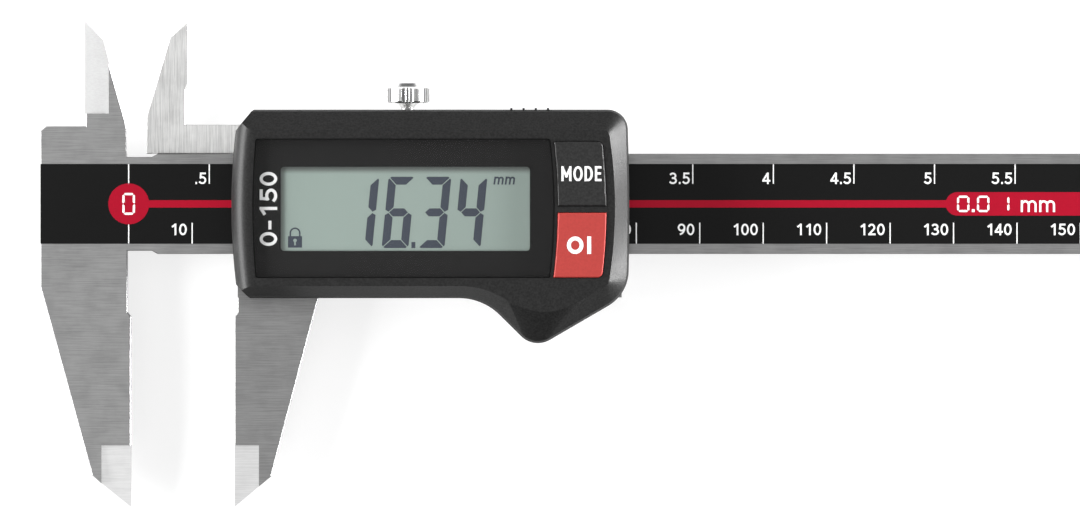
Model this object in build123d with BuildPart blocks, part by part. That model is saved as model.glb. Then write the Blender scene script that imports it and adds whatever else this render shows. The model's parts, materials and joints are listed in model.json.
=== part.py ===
from build123d import *
import os

os.makedirs("parts", exist_ok=True)

# A 150 mm digital caliper lying on its back, display up.
# Origin: x = 0 on the measuring face of the fixed jaw, y = 0 on the centre line of the beam,
# z = 0 on the beam's rear face. +X runs along the beam, away from the head. Millimetres.
# Pieces that ride on the slider are drawn from its own measuring face, on the SLIDER plane.

# ---------------------------------------------------------------- driving dimensions
OPENING = 16.34            # gap between the outside jaws in the stored pose

# beam and fixed head
BEAM_REACH = 220.7         # measuring face to far end of the beam
HEAD_LENGTH = 14.26        # head behind the measuring face
BEAM_WIDTH = 15.8
BEAM_THICKNESS = 3.5
HEAD_TOP = 4.33            # head above the beam's top edge
JAW_REACH = 47.8           # centre line to the tip of the outside jaws
BLADE_REACH = 28.87        # centre line to the tip of the inside blades
BLADE_LINE = 7.3           # inside measuring edge, behind the jaw's measuring face
JAW_RELIEF = 0.55          # the jaws stand back by this much next to the beam
RELIEF_END = 17.75         # centre line to the start of the outside measuring faces
KNIFE_WIDTH = 4.66         # ground tip of the outside jaws
KNIFE_LENGTH = 9.75
KNIFE_START_DEPTH = 0.35
KNIFE_TIP_DEPTH = 1.15
BLADE_GRIND_WIDTH = 3.82   # ground face of the inside blades
BLADE_GRIND_START = 14.2
BLADE_EDGE = 0.25          # thickness left at the inside measuring edges
EDGE_BREAK = 0.12          # broken edges of the ground plates

# scale in the beam's front channel
CHANNEL_WIDTH = 12.6
CHANNEL_DEPTH = 0.9
SCALE_BOARD_THICKNESS = 0.6
SCALE_FILM_THICKNESS = 0.2
SCALE_GAP = 0.03

# depth rod in the beam's rear groove
ROD_WIDTH = 3.0
ROD_THICKNESS = 1.3
ROD_CLEARANCE = 0.1
ROD_ROOT = 48.5            # from the slider's measuring face
ROD_FOOT_LENGTH = 11.0
ROD_FOOT_DEPTH = 0.9
END_STOP_LENGTH = 5.0
END_STOP_WIDTH = 11.0
END_STOP_THICKNESS = 1.2

# slider
RAIL_GAP = 0.02            # running gap along the beam's edges
BACK_GAP = 0.03            # running gap behind the beam
MATING_GAP = 0.03          # each side of the plane between the two inside blades
WEB_THICKNESS = 1.67
RAIL_RISE = 0.6            # rails stand above the beam's front
TOP_RAIL = 4.6             # width of the rails beyond the beam's edges
BOTTOM_RAIL = 6.85
RAIL_START = 0.5
SLIDER_LENGTH = 61.0
ARM_BACK = 13.9            # far side of the moving inside blade
MOVING_JAW_WIDTH = 13.2
MOVING_KNIFE_WIDTH = 3.84

# gib and lock
GIB_THICKNESS = 0.5
GIB_START = 1.0
GIB_LENGTH = 59.0
GIB_MARGIN = 0.2           # gib stands this far inside the beam's two faces
GIB_SCREW_RADIUS = 1.0
GIB_SCREW_PLACES = (12.0, 50.0)
LOCK_PLACE = 27.26
LOCK_RISE = 0.15           # lock axis above the middle of the beam's thickness
LOCK_RADIUS = 1.05
LOCK_HEAD_RADIUS = 3.5
LOCK_HEAD_GAP = 1.02       # between the housing and the lock screw's head
LOCK_HEAD_LENGTH = 2.57
LOCK_DOME = 0.95
LOCK_GROOVE = 0.3          # depth of the grip grooves in the lock screw's head
LOCK_PAD_LENGTH = 1.0
LOCK_PAD_LIFT = 0.1        # pad stands off the gib until the screw is tightened
THREAD_GAP = 0.03
SCREW_FIT = 0.02

# housing
HOUSING_LENGTH = 62.21
HOUSING_TOP_LIP = 2.35     # housing beyond the top rail
HOUSING_BOTTOM_LIP = 0.11  # housing beyond the bottom rail
THUMB_DROP = 8.03          # sharp corner of the thumb rest below the bottom edge
DRAFT_INSET = 0.35
BEVEL_HEIGHT = 2.4
COLUMN_BOW = 0.7
COLUMN_RADIUS = 3.1
WALL = 1.9
SKIRT = 0.7
SKIRT_GAP = 0.05
BASE_THICKNESS = 1.0
GASKET_THICKNESS = 0.2
FRONT_WALL = 2.0
BOSS_RADIUS = 1.7
HOUSING_SCREW_RADIUS = 0.9
SCREW_HEAD_RADIUS = 1.6
HOUSING_SCREW_LENGTH = 10.6
SCREW_SINK = 0.05          # screw heads lie this far below the face

# display
LENS_THICKNESS = 1.0
LENS_GAP = 0.08
LENS_SINK = 0.05
MASK_THICKNESS = 0.15
WINDOW_HEIGHT = 13.22
WINDOW_CENTRE = -0.81
GLASS_THICKNESS = 0.6
GLASS_MARGIN_X = 1.95
GLASS_MARGIN_Y = 1.5
CONTACT_STRIP_WIDTH = 1.4
CONTACT_STRIP_HEIGHT = 0.8

# boards
BOARD_THICKNESS = 0.8
BOARD_GAP = 0.3
BOARD_SCREW_RADIUS = 0.6
BOARD_BOSS_RADIUS = 1.1
PICKUP_LIFT = 0.2          # air gap between pickup board and scale film
PICKUP_WIDTH = 11.2
PICKUP_START = 9.0
PICKUP_LENGTH = 37.0
WIPER_WIDTH = 1.5

# battery
CELL_DIAMETER = 20.0
CELL_HEIGHT = 3.2
CELL_GAP = 0.15
TRAY_WALL = 0.45
TRAY_FLOOR = 0.35
TRAY_GAP = 0.1
TRAY_TOP_GAP = 0.13
CONTACT_SLOT = 8.0
SEAL_WIDTH = 0.5
SEAL_DEPTH = 0.4

# buttons
BUTTON_GAP = 0.1
BUTTON_PROUD = 0.2
BUTTON_FLANGE = 0.45
BUTTON_FLANGE_THICKNESS = 0.4
DOME_HEIGHT = 0.35
DOME_RADIUS = 2.2

# ---------------------------------------------------------------- places that follow from them
SLIDER = Plane(origin=(OPENING, 0, 0))
EDGE = BEAM_WIDTH / 2
MATING = BEAM_THICKNESS / 2
RAIL_FACE = EDGE + RAIL_GAP
RAIL_TOP = EDGE + TOP_RAIL
RAIL_BOTTOM = -(EDGE + BOTTOM_RAIL)
HOUSING_TOP = RAIL_TOP + HOUSING_TOP_LIP
HOUSING_BOTTOM = -RAIL_BOTTOM + HOUSING_BOTTOM_LIP
SLIDER_BACK = -(BACK_GAP + WEB_THICKNESS)
RAIL_FRONT = BEAM_THICKNESS + RAIL_RISE
CHANNEL_FLOOR = BEAM_THICKNESS - CHANNEL_DEPTH
FILM_FRONT = CHANNEL_FLOOR + SCALE_BOARD_THICKNESS + SCALE_FILM_THICKNESS
LOCK_HEIGHT = MATING + LOCK_RISE

BASE_FRONT = RAIL_FRONT + BASE_THICKNESS
SHOULDER = BASE_FRONT + GASKET_THICKNESS
TRAY_BOTTOM = SHOULDER + TRAY_GAP
CELL_BOTTOM = TRAY_BOTTOM + TRAY_FLOOR + RAIL_GAP
CELL_TOP = CELL_BOTTOM + CELL_HEIGHT
TRAY_TOP = CELL_TOP + TRAY_TOP_GAP
BOARD_BACK = TRAY_TOP + BOARD_GAP
BOARD_FRONT = BOARD_BACK + BOARD_THICKNESS
FRONT_INNER = BOARD_FRONT + CONTACT_STRIP_HEIGHT
PLATEAU = FRONT_INNER + FRONT_WALL
SHOULDER_LINE = PLATEAU - BEVEL_HEIGHT
LENS_FRONT = PLATEAU - LENS_SINK
LENS_BACK = LENS_FRONT - LENS_THICKNESS
LENS_SEAT = LENS_BACK - MASK_THICKNESS

TOP_SCREW_LINE = (RAIL_FACE + GIB_THICKNESS + RAIL_TOP) / 2
BOTTOM_SCREW_LINE = (RAIL_BOTTOM - RAIL_FACE) / 2
HOUSING_SCREW_POINTS = (
    (6.0, TOP_SCREW_LINE),
    (21.5, TOP_SCREW_LINE),
    (6.0, BOTTOM_SCREW_LINE),
    (HOUSING_LENGTH - 14.6, BOTTOM_SCREW_LINE),
)


def at_back(points, height):
    """Planes that face backwards at a height, for screws driven in from behind."""
    return [Plane(origin=(x, y, height), z_dir=(0, 0, -1)) for x, y in points]


def on_slider(points):
    """Points given from the slider's measuring face, in the part's own frame."""
    return [(x + OPENING, y) for x, y in points]


def countersunk_screw(radius, length, head=SCREW_HEAD_RADIUS):
    """A cross-head countersunk screw whose head lies at z = 0 and whose shank points to -z."""
    with BuildPart() as screw:
        with BuildSketch(Plane.XZ):
            with BuildLine():
                Polyline(
                    (0, 0),
                    (head, 0),
                    (radius, radius - head),
                    (radius, -length),
                    (0, -length),
                    close=True,
                )
            make_face()
        revolve(axis=Axis.Z)
        with BuildSketch():
            Rectangle(head * 1.2, head * 0.25)
            Rectangle(head * 0.25, head * 1.2)
        extrude(amount=-head * 0.3, mode=Mode.SUBTRACT)
    return screw.part


# ---------------------------------------------------------------- beam with its fixed jaws
GROOVE_START = ROD_ROOT - SKIRT
GROOVE_WIDTH = ROD_WIDTH + 2 * ROD_CLEARANCE
GROOVE_DEPTH = ROD_THICKNESS + 2 * ROD_CLEARANCE
END_STOP_X = BEAM_REACH - END_STOP_LENGTH / 2
END_STOP_SCREWS = [(END_STOP_X, side * (END_STOP_WIDTH / 2 - 2.0)) for side in (-1, 1)]
END_SCREW_RADIUS = 0.8
END_SCREW_LENGTH = END_STOP_THICKNESS + 1.0


def outside_jaw_knife(start, length):
    """Wedges that thin the tip of an outside jaw from the front and from behind."""
    tip = -JAW_REACH - 1.0
    shoulder = -JAW_REACH + KNIFE_LENGTH
    with BuildPart() as wedges:
        with BuildSketch(Plane.YZ.offset(start)):
            with BuildLine():
                Polyline(
                    (shoulder, BEAM_THICKNESS - KNIFE_START_DEPTH),
                    (tip, BEAM_THICKNESS - KNIFE_TIP_DEPTH),
                    (tip, BEAM_THICKNESS + 1),
                    (shoulder, BEAM_THICKNESS + 1),
                    close=True,
                )
            make_face()
            with BuildLine():
                Polyline(
                    (shoulder, KNIFE_START_DEPTH),
                    (tip, KNIFE_TIP_DEPTH),
                    (tip, -1),
                    (shoulder, -1),
                    close=True,
                )
            make_face()
        extrude(amount=length)
    return wedges.part


fixed_knife = outside_jaw_knife(-KNIFE_WIDTH, KNIFE_WIDTH + 1)

with BuildPart() as beam:
    with BuildSketch():
        with BuildLine():
            Polyline(
                (-HEAD_LENGTH, EDGE),
                (-HEAD_LENGTH, -EDGE - 5.2),
                (-6.11, -JAW_REACH + 5.03),
                (-4.87, -JAW_REACH + 3.9),
                (0, -JAW_REACH),
                (0, -RELIEF_END),
                (-JAW_RELIEF, -RELIEF_END + 0.7),
                (-JAW_RELIEF, -EDGE + 0.5),
                (3.3, -EDGE + 0.5),
                (4.2, -EDGE),
                (BEAM_REACH, -EDGE),
                (BEAM_REACH, EDGE),
                (4.2, EDGE),
                (3.3, EDGE - 0.5),
                (-0.69, EDGE - 0.5),
                (-0.69, EDGE),
                close=True,
            )
        make_face()
    extrude(amount=BEAM_THICKNESS)
    # head and inside blade above the beam are only the front half of its thickness
    with BuildSketch(Plane.XY.offset(MATING + MATING_GAP)):
        with BuildLine():
            Polyline(
                (-HEAD_LENGTH, EDGE),
                (-HEAD_LENGTH, EDGE + HEAD_TOP - 0.75),
                (-HEAD_LENGTH + 0.9, EDGE + HEAD_TOP),
                (-BLADE_LINE + 0.22, EDGE + HEAD_TOP),
                (-BLADE_LINE + 0.22, BLADE_GRIND_START),
                (-BLADE_LINE, BLADE_GRIND_START),
                (-BLADE_LINE, BLADE_REACH),
                (-4.4, BLADE_REACH - 3.04),
                (-3.36, BLADE_REACH - 7.14),
                (-0.84, EDGE + 5.0),
                (-0.69, EDGE + 4.06),
                (-0.69, EDGE),
                close=True,
            )
        make_face()
    extrude(amount=MATING - MATING_GAP)
    chamfer(beam.faces().sort_by(Axis.Z)[-1].outer_wire().edges(), EDGE_BREAK)
    with BuildSketch(Plane.XY.offset(CHANNEL_FLOOR)):
        with Locations(((BEAM_REACH - HEAD_LENGTH) / 2, 0)):
            Rectangle(BEAM_REACH + HEAD_LENGTH + 2, CHANNEL_WIDTH)
    extrude(amount=CHANNEL_DEPTH + 1, mode=Mode.SUBTRACT)
    with BuildSketch():
        with Locations(((GROOVE_START + BEAM_REACH + 1) / 2, 0)):
            Rectangle(BEAM_REACH + 1 - GROOVE_START, GROOVE_WIDTH)
    extrude(amount=GROOVE_DEPTH, mode=Mode.SUBTRACT)
    # ground face of the inside blade, sloping down to its measuring edge
    with BuildSketch(Plane.XZ.offset(-BLADE_GRIND_START)):
        with BuildLine():
            Polyline(
                (-BLADE_LINE + BLADE_GRIND_WIDTH, BEAM_THICKNESS - 0.2),
                (-BLADE_LINE, MATING + MATING_GAP + BLADE_EDGE),
                (-BLADE_LINE - 1, MATING + MATING_GAP + BLADE_EDGE),
                (-BLADE_LINE - 1, BEAM_THICKNESS + 1),
                (-BLADE_LINE + BLADE_GRIND_WIDTH, BEAM_THICKNESS + 1),
                close=True,
            )
        make_face()
    extrude(amount=-BLADE_REACH, mode=Mode.SUBTRACT)
    add(fixed_knife, mode=Mode.SUBTRACT)
    with Locations(*at_back(END_STOP_SCREWS, 0)):
        Hole(END_SCREW_RADIUS + SCREW_FIT, depth=END_SCREW_LENGTH - END_STOP_THICKNESS + 0.2)
beam.part.label = "beam"
export_step(beam.part, "parts/beam.step")

# ---------------------------------------------------------------- scale
SCALE_LENGTH = BEAM_REACH + HEAD_LENGTH
SCALE_WIDTH = CHANNEL_WIDTH - 2 * SCALE_GAP

with BuildPart() as scale_board:
    with BuildSketch(Plane.XY.offset(CHANNEL_FLOOR)):
        with Locations(((BEAM_REACH - HEAD_LENGTH) / 2, 0)):
            Rectangle(SCALE_LENGTH, SCALE_WIDTH)
    extrude(amount=SCALE_BOARD_THICKNESS)
scale_board.part.label = "scale_board"
export_step(scale_board.part, "parts/scale_board.step")

with BuildPart() as scale_film:
    with BuildSketch(Plane.XY.offset(FILM_FRONT - SCALE_FILM_THICKNESS)):
        with Locations(((BEAM_REACH - HEAD_LENGTH) / 2, 0)):
            Rectangle(SCALE_LENGTH, SCALE_WIDTH)
    extrude(amount=SCALE_FILM_THICKNESS)
scale_film.part.label = "scale_film"
export_step(scale_film.part, "parts/scale_film.step")

# ---------------------------------------------------------------- end stop
with BuildPart() as end_stop:
    with BuildSketch():
        with Locations((END_STOP_X, 0)):
            RectangleRounded(END_STOP_LENGTH, END_STOP_WIDTH, 0.8)
    extrude(amount=-END_STOP_THICKNESS)
    with Locations(*at_back(END_STOP_SCREWS, -END_STOP_THICKNESS)):
        CounterSinkHole(
            END_SCREW_RADIUS + SCREW_FIT,
            SCREW_HEAD_RADIUS + SCREW_SINK,
            counter_sink_angle=90,
        )
end_stop.part.label = "end_stop"
export_step(end_stop.part, "parts/end_stop.step")

end_screw = countersunk_screw(END_SCREW_RADIUS, END_SCREW_LENGTH - SCREW_SINK)
with BuildPart() as end_stop_screws:
    with Locations(*at_back(END_STOP_SCREWS, -END_STOP_THICKNESS + SCREW_SINK)):
        add(end_screw)
end_stop_screws.part.label = "end_stop_screws"
export_step(end_stop_screws.part, "parts/end_stop_screws.step")

# ---------------------------------------------------------------- slider
ROD_SCREW_POINTS = [(ROD_ROOT + 2.5, 0), (ROD_ROOT + ROD_FOOT_LENGTH - 2.5, 0)]
ROD_SCREW_RADIUS = 0.7
ROD_SCREW_HEAD = 1.25
ROD_SCREW_LENGTH = 2.4
FOOT_FIT = 0.05
GIB_SCREW_PLANES = [
    Plane(origin=(OPENING + place, 0, MATING), z_dir=(0, 1, 0)) for place in GIB_SCREW_PLACES
]
LOCK = Plane(origin=(OPENING + LOCK_PLACE, 0, LOCK_HEIGHT), z_dir=(0, 1, 0))

moving_knife = outside_jaw_knife(OPENING - 1, MOVING_KNIFE_WIDTH + 1)

with BuildPart() as slider:
    # arm and moving inside blade, the rear half of the thickness
    with BuildSketch(SLIDER):
        with BuildLine():
            Polyline(
                (-ARM_BACK, RAIL_FACE),
                (-ARM_BACK, EDGE + 6.02),
                (-BLADE_LINE - 3.0, BLADE_REACH - 2.65),
                (-BLADE_LINE, BLADE_REACH),
                (-BLADE_LINE, BLADE_REACH - 9.88),
                (-BLADE_LINE - 0.49, BLADE_REACH - 10.92),
                (-BLADE_LINE - 0.49, RAIL_TOP),
                (RAIL_START + 1, RAIL_TOP),
                (RAIL_START + 1, RAIL_FACE),
                close=True,
            )
        make_face()
    extrude(amount=MATING - MATING_GAP)
    chamfer(slider.faces().sort_by(Axis.Z)[-1].edges(), EDGE_BREAK)
    # moving outside jaw
    with BuildSketch(SLIDER):
        with BuildLine():
            Polyline(
                (RAIL_START, RAIL_BOTTOM + 2),
                (RAIL_START, -RELIEF_END + 0.65),
                (0, -RELIEF_END),
                (0, -JAW_REACH),
                (5.77, -JAW_REACH + 4.84),
                (MOVING_JAW_WIDTH, RAIL_BOTTOM),
                (MOVING_JAW_WIDTH, RAIL_BOTTOM + 2),
                close=True,
            )
        make_face()
    extrude(amount=BEAM_THICKNESS)
    chamfer(slider.faces().sort_by(Axis.Z)[-1].edges(), EDGE_BREAK)
    # web behind the beam and the two rails
    with BuildSketch(SLIDER.offset(SLIDER_BACK)):
        with Locations(((RAIL_START + SLIDER_LENGTH) / 2, (RAIL_TOP + RAIL_BOTTOM) / 2)):
            Rectangle(SLIDER_LENGTH - RAIL_START, RAIL_TOP - RAIL_BOTTOM)
    extrude(amount=RAIL_FRONT - SLIDER_BACK)
    with BuildSketch(SLIDER.offset(-BACK_GAP)):
        with Locations((SLIDER_LENGTH / 2, 0)):
            Rectangle(SLIDER_LENGTH + 5, 2 * RAIL_FACE)
    extrude(amount=RAIL_FRONT + 1, mode=Mode.SUBTRACT)
    # pocket for the gib in the face of the top rail
    with BuildSketch(SLIDER.offset(GIB_MARGIN - RAIL_GAP)):
        with Locations((GIB_START + GIB_LENGTH / 2, RAIL_FACE)):
            Rectangle(GIB_LENGTH + 2 * RAIL_GAP, 2 * (GIB_THICKNESS + RAIL_GAP))
    extrude(amount=BEAM_THICKNESS - 2 * GIB_MARGIN + 2 * RAIL_GAP, mode=Mode.SUBTRACT)
    # pocket for the foot of the depth rod
    with BuildSketch(SLIDER.offset(-ROD_FOOT_DEPTH - FOOT_FIT)):
        with Locations((ROD_ROOT + ROD_FOOT_LENGTH / 2, 0)):
            Rectangle(ROD_FOOT_LENGTH + 2 * FOOT_FIT, ROD_WIDTH + 2 * FOOT_FIT)
    extrude(amount=ROD_FOOT_DEPTH + FOOT_FIT, mode=Mode.SUBTRACT)
    # grinding of the inside blade, from behind
    with BuildSketch(Plane.XZ.offset(-BLADE_GRIND_START)):
        with BuildLine():
            Polyline(
                (OPENING - BLADE_LINE - BLADE_GRIND_WIDTH, 0.2),
                (OPENING - BLADE_LINE, MATING - MATING_GAP - BLADE_EDGE),
                (OPENING - BLADE_LINE + 1, MATING - MATING_GAP - BLADE_EDGE),
                (OPENING - BLADE_LINE + 1, -1),
                (OPENING - BLADE_LINE - BLADE_GRIND_WIDTH, -1),
                close=True,
            )
        make_face()
    extrude(amount=-BLADE_REACH, mode=Mode.SUBTRACT)
    add(moving_knife, mode=Mode.SUBTRACT)
    with Locations(*at_back(on_slider(HOUSING_SCREW_POINTS), SLIDER_BACK)):
        CounterSinkHole(
            HOUSING_SCREW_RADIUS + SCREW_FIT,
            SCREW_HEAD_RADIUS + SCREW_SINK,
            depth=RAIL_FRONT - SLIDER_BACK + 1,
            counter_sink_angle=90,
        )
    with Locations(*at_back(on_slider(ROD_SCREW_POINTS), SLIDER_BACK)):
        CounterSinkHole(
            ROD_SCREW_RADIUS + SCREW_FIT,
            ROD_SCREW_HEAD + SCREW_SINK,
            depth=WEB_THICKNESS,
            counter_sink_angle=90,
        )
    with Locations(*[plane.offset(RAIL_TOP) for plane in GIB_SCREW_PLANES]):
        Hole(GIB_SCREW_RADIUS + SCREW_FIT, depth=TOP_RAIL)
    with Locations(LOCK.offset(RAIL_TOP)):
        Hole(LOCK_RADIUS + THREAD_GAP, depth=TOP_RAIL)
slider.part.label = "slider"
export_step(slider.part, "parts/slider.step")

# ---------------------------------------------------------------- gib, its screws and the lock
with BuildPart() as gib_strip:
    with BuildSketch(SLIDER.offset(GIB_MARGIN)):
        with Locations((GIB_START + GIB_LENGTH / 2, RAIL_FACE + GIB_THICKNESS / 2)):
            Rectangle(GIB_LENGTH, GIB_THICKNESS)
    extrude(amount=BEAM_THICKNESS - 2 * GIB_MARGIN)
gib_strip.part.label = "gib_strip"
export_step(gib_strip.part, "parts/gib_strip.step")

GIB_BACK = RAIL_FACE + GIB_THICKNESS
GIB_SCREW_LENGTH = RAIL_TOP - GIB_BACK - 0.3
with BuildPart() as gib_screw:
    Cylinder(GIB_SCREW_RADIUS, GIB_SCREW_LENGTH, align=(Align.CENTER, Align.CENTER, Align.MIN))
    chamfer(gib_screw.edges().sort_by(Axis.Z)[-1], 0.15)
    with BuildSketch(Plane.XY.offset(GIB_SCREW_LENGTH)):
        RegularPolygon(GIB_SCREW_RADIUS * 0.5, 6)
    extrude(amount=-1.0, mode=Mode.SUBTRACT)

with BuildPart() as gib_screws:
    with Locations(*[plane.offset(GIB_BACK) for plane in GIB_SCREW_PLANES]):
        add(gib_screw.part)
gib_screws.part.label = "gib_screws"
export_step(gib_screws.part, "parts/gib_screws.step")

PAD_START = GIB_BACK + LOCK_PAD_LIFT
with BuildPart() as lock_pad:
    with BuildSketch(LOCK.offset(PAD_START)):
        Circle(LOCK_RADIUS)
    extrude(amount=LOCK_PAD_LENGTH)
lock_pad.part.label = "lock_pad"
export_step(lock_pad.part, "parts/lock_pad.step")

HEAD_START = HOUSING_TOP + LOCK_HEAD_GAP
HEAD_END = HEAD_START + LOCK_HEAD_LENGTH
with BuildPart() as lock_screw:
    with BuildSketch(Plane(origin=LOCK.origin, x_dir=(0, 0, 1), z_dir=(-1, 0, 0))):
        with BuildLine():
            Polyline(
                (0, PAD_START + LOCK_PAD_LENGTH),
                (LOCK_RADIUS, PAD_START + LOCK_PAD_LENGTH),
                (LOCK_RADIUS, HEAD_START - 0.75),
                (LOCK_HEAD_RADIUS * 0.5, HEAD_START),
                (LOCK_HEAD_RADIUS - 0.3, HEAD_START),
                (LOCK_HEAD_RADIUS, HEAD_START + 0.3),
                (LOCK_HEAD_RADIUS, HEAD_END - 0.3),
                (LOCK_HEAD_RADIUS * 0.84, HEAD_END),
                (LOCK_HEAD_RADIUS * 0.72, HEAD_END + LOCK_DOME * 0.6),
            )
            TangentArc(
                (0, HEAD_END + LOCK_DOME),
                (LOCK_HEAD_RADIUS * 0.72, HEAD_END + LOCK_DOME * 0.6),
                tangent=(1, 0),
            )
            Line((0, HEAD_END + LOCK_DOME), (0, PAD_START + LOCK_PAD_LENGTH))
        make_face()
    revolve(axis=Axis(LOCK.origin, (0, 1, 0)))
    # six groups of three grip grooves, with smooth lands between them
    with BuildSketch(LOCK.offset(HEAD_START - 0.1)):
        for turn in (-10, 0, 10):
            with PolarLocations(LOCK_HEAD_RADIUS, 6, start_angle=turn):
                RegularPolygon(LOCK_GROOVE, 4)
    extrude(amount=LOCK_HEAD_LENGTH + 0.2, mode=Mode.SUBTRACT)
lock_screw.part.label = "lock_screw"
export_step(lock_screw.part, "parts/lock_screw.step")

# ---------------------------------------------------------------- depth rod
ROD_END = BEAM_REACH
with BuildPart() as depth_rod:
    with BuildSketch(SLIDER.offset(ROD_CLEARANCE)):
        with BuildLine():
            Polyline(
                (ROD_ROOT, -ROD_WIDTH / 2),
                (ROD_END - 6.0, -ROD_WIDTH / 2),
                (ROD_END - 5.0, -ROD_WIDTH / 2 + 1.0),
                (ROD_END, -ROD_WIDTH / 2 + 1.0),
                (ROD_END, ROD_WIDTH / 2),
                (ROD_ROOT, ROD_WIDTH / 2),
                close=True,
            )
        make_face()
    extrude(amount=ROD_THICKNESS)
    with BuildSketch(SLIDER.offset(-ROD_FOOT_DEPTH)):
        with Locations((ROD_ROOT + ROD_FOOT_LENGTH / 2, 0)):
            Rectangle(ROD_FOOT_LENGTH, ROD_WIDTH)
    extrude(amount=ROD_FOOT_DEPTH + ROD_CLEARANCE)
    with Locations(*at_back(on_slider(ROD_SCREW_POINTS), -ROD_FOOT_DEPTH)):
        Hole(ROD_SCREW_RADIUS + SCREW_FIT, depth=ROD_SCREW_LENGTH - WEB_THICKNESS + ROD_FOOT_DEPTH)
depth_rod.part.label = "depth_rod"
export_step(depth_rod.part, "parts/depth_rod.step")

rod_screw = countersunk_screw(ROD_SCREW_RADIUS, ROD_SCREW_LENGTH - SCREW_SINK, ROD_SCREW_HEAD)
with BuildPart() as depth_rod_screws:
    with Locations(*at_back(on_slider(ROD_SCREW_POINTS), SLIDER_BACK + SCREW_SINK)):
        add(rod_screw)
depth_rod_screws.part.label = "depth_rod_screws"
export_step(depth_rod_screws.part, "parts/depth_rod_screws.step")

# ---------------------------------------------------------------- outline of the housing
# Corners of the outline on the slider's side, before they are rounded:
# upper right, middle of the bowed right side, lower right, thumb rest, heel.
SKIRT_CORNERS = (
    (HOUSING_LENGTH - 0.35, HOUSING_TOP),
    (HOUSING_LENGTH, 0),
    (HOUSING_LENGTH - 0.2, -HOUSING_BOTTOM + 0.6),
    (HOUSING_LENGTH - 15.0, -HOUSING_BOTTOM - THUMB_DROP),
    (HOUSING_LENGTH - 23.1, -HOUSING_BOTTOM),
)
SKIRT_RADII = (3.2, 6.5, 3.76, 9.1)
PLATEAU_CORNERS = (
    (HOUSING_LENGTH - 3.3, HOUSING_TOP - 3.3),
    (HOUSING_LENGTH - 2.3, 0),
    (HOUSING_LENGTH - 3.3, -HOUSING_BOTTOM + 2.26),
    (HOUSING_LENGTH - 13.6, -HOUSING_BOTTOM + 4.1 - THUMB_DROP),
    (HOUSING_LENGTH - 22.7, -HOUSING_BOTTOM + 1.92),
)
PLATEAU_RADII = (1.0, 1.0, 10.2, 13.7)
LEFT_OVERRUN = 4.0


def housing_level(height, corners, radii, inset=0.0):
    """The housing's outline at one height. Its left end runs on and is cut by the column."""
    upper_right, right_middle, lower_right, thumb, heel = corners
    upper_left = (-LEFT_OVERRUN, upper_right[1])
    lower_left = (-LEFT_OVERRUN, heel[1])
    with BuildSketch(SLIDER.offset(height)) as level:
        with BuildLine():
            Polyline(upper_right, upper_left, lower_left, heel, thumb, lower_right)
            ThreePointArc(lower_right, right_middle, upper_right)
        make_face()
        if inset:
            offset(amount=-inset, kind=Kind.INTERSECTION)
        for corner, radius in zip((upper_right, lower_right, thumb), radii):
            fillet(level.vertices().sort_by_distance(corner)[0], max(radius - inset, 0.4))
        fillet(level.vertices().sort_by_distance(heel)[0], radii[3] + inset)
    return level.sketch


def column_end(height):
    """Everything to the right of the bowed left side and its two cut-off corners."""
    top = (0.3, HOUSING_TOP - 3.4)
    bottom = (0.36, -HOUSING_BOTTOM + 2.16)
    with BuildSketch(SLIDER.offset(height)) as end:
        with BuildLine():
            ThreePointArc(top, (0.33 - COLUMN_BOW, -0.6), bottom)
            Polyline(
                bottom,
                (bottom[0] + 10.5, bottom[1] - 10.8),
                (HOUSING_LENGTH + 10, bottom[1] - 10.8),
                (HOUSING_LENGTH + 10, top[1] + 13.6),
                (top[0] + 11.04, top[1] + 13.6),
                top,
            )
        make_face()
    return end.sketch


def housing_plan(height, inset):
    """The whole outline of the housing at its foot, moved inwards."""
    level = housing_level(height, SKIRT_CORNERS, SKIRT_RADII)
    with BuildSketch(SLIDER.offset(height)) as plan:
        add(SLIDER.offset(height).to_local_coords(level))
        add(SLIDER.offset(height).to_local_coords(column_end(height)), mode=Mode.INTERSECT)
        offset(amount=-inset, kind=Kind.INTERSECTION)
    return plan.sketch


# The outer form of the housing: drafted sides, bevels up to the plateau, rounded left column.
form_levels = [
    housing_level(RAIL_FRONT, SKIRT_CORNERS, SKIRT_RADII),
    housing_level(SHOULDER_LINE, SKIRT_CORNERS, SKIRT_RADII, DRAFT_INSET),
    housing_level(PLATEAU, PLATEAU_CORNERS, PLATEAU_RADII),
]
column_outline = column_end(RAIL_FRONT)

with BuildPart() as column_form:
    extrude(column_outline, amount=PLATEAU - RAIL_FRONT)
    fillet(column_form.edges().group_by(Axis.Z)[-1].sort_by(Axis.X)[0], COLUMN_RADIUS)

with BuildPart() as housing_form:
    loft(form_levels, ruled=True)
    add(column_form.part, mode=Mode.INTERSECT)

# ---------------------------------------------------------------- housing base, gasket, wipers
PICKUP_BACK = FILM_FRONT + PICKUP_LIFT
PICKUP_FRONT = PICKUP_BACK + BOARD_THICKNESS
PICKUP_PLACE = (PICKUP_START + PICKUP_LENGTH / 2, 0)
LINK_PLACE = (24.0, 0)
LINK_SIZE = (12.0, 2.5)
LINK_GAP = 0.6
WIPER_TOP = RAIL_FRONT + BASE_THICKNESS / 2
WIPER_LENGTH = BEAM_WIDTH - 0.6
WIPER_PLACES = {
    "wiper_left": RAIL_START + 0.8 + WIPER_WIDTH / 2,
    "wiper_right": SLIDER_LENGTH - 0.8 - WIPER_WIDTH / 2,
}

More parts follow.
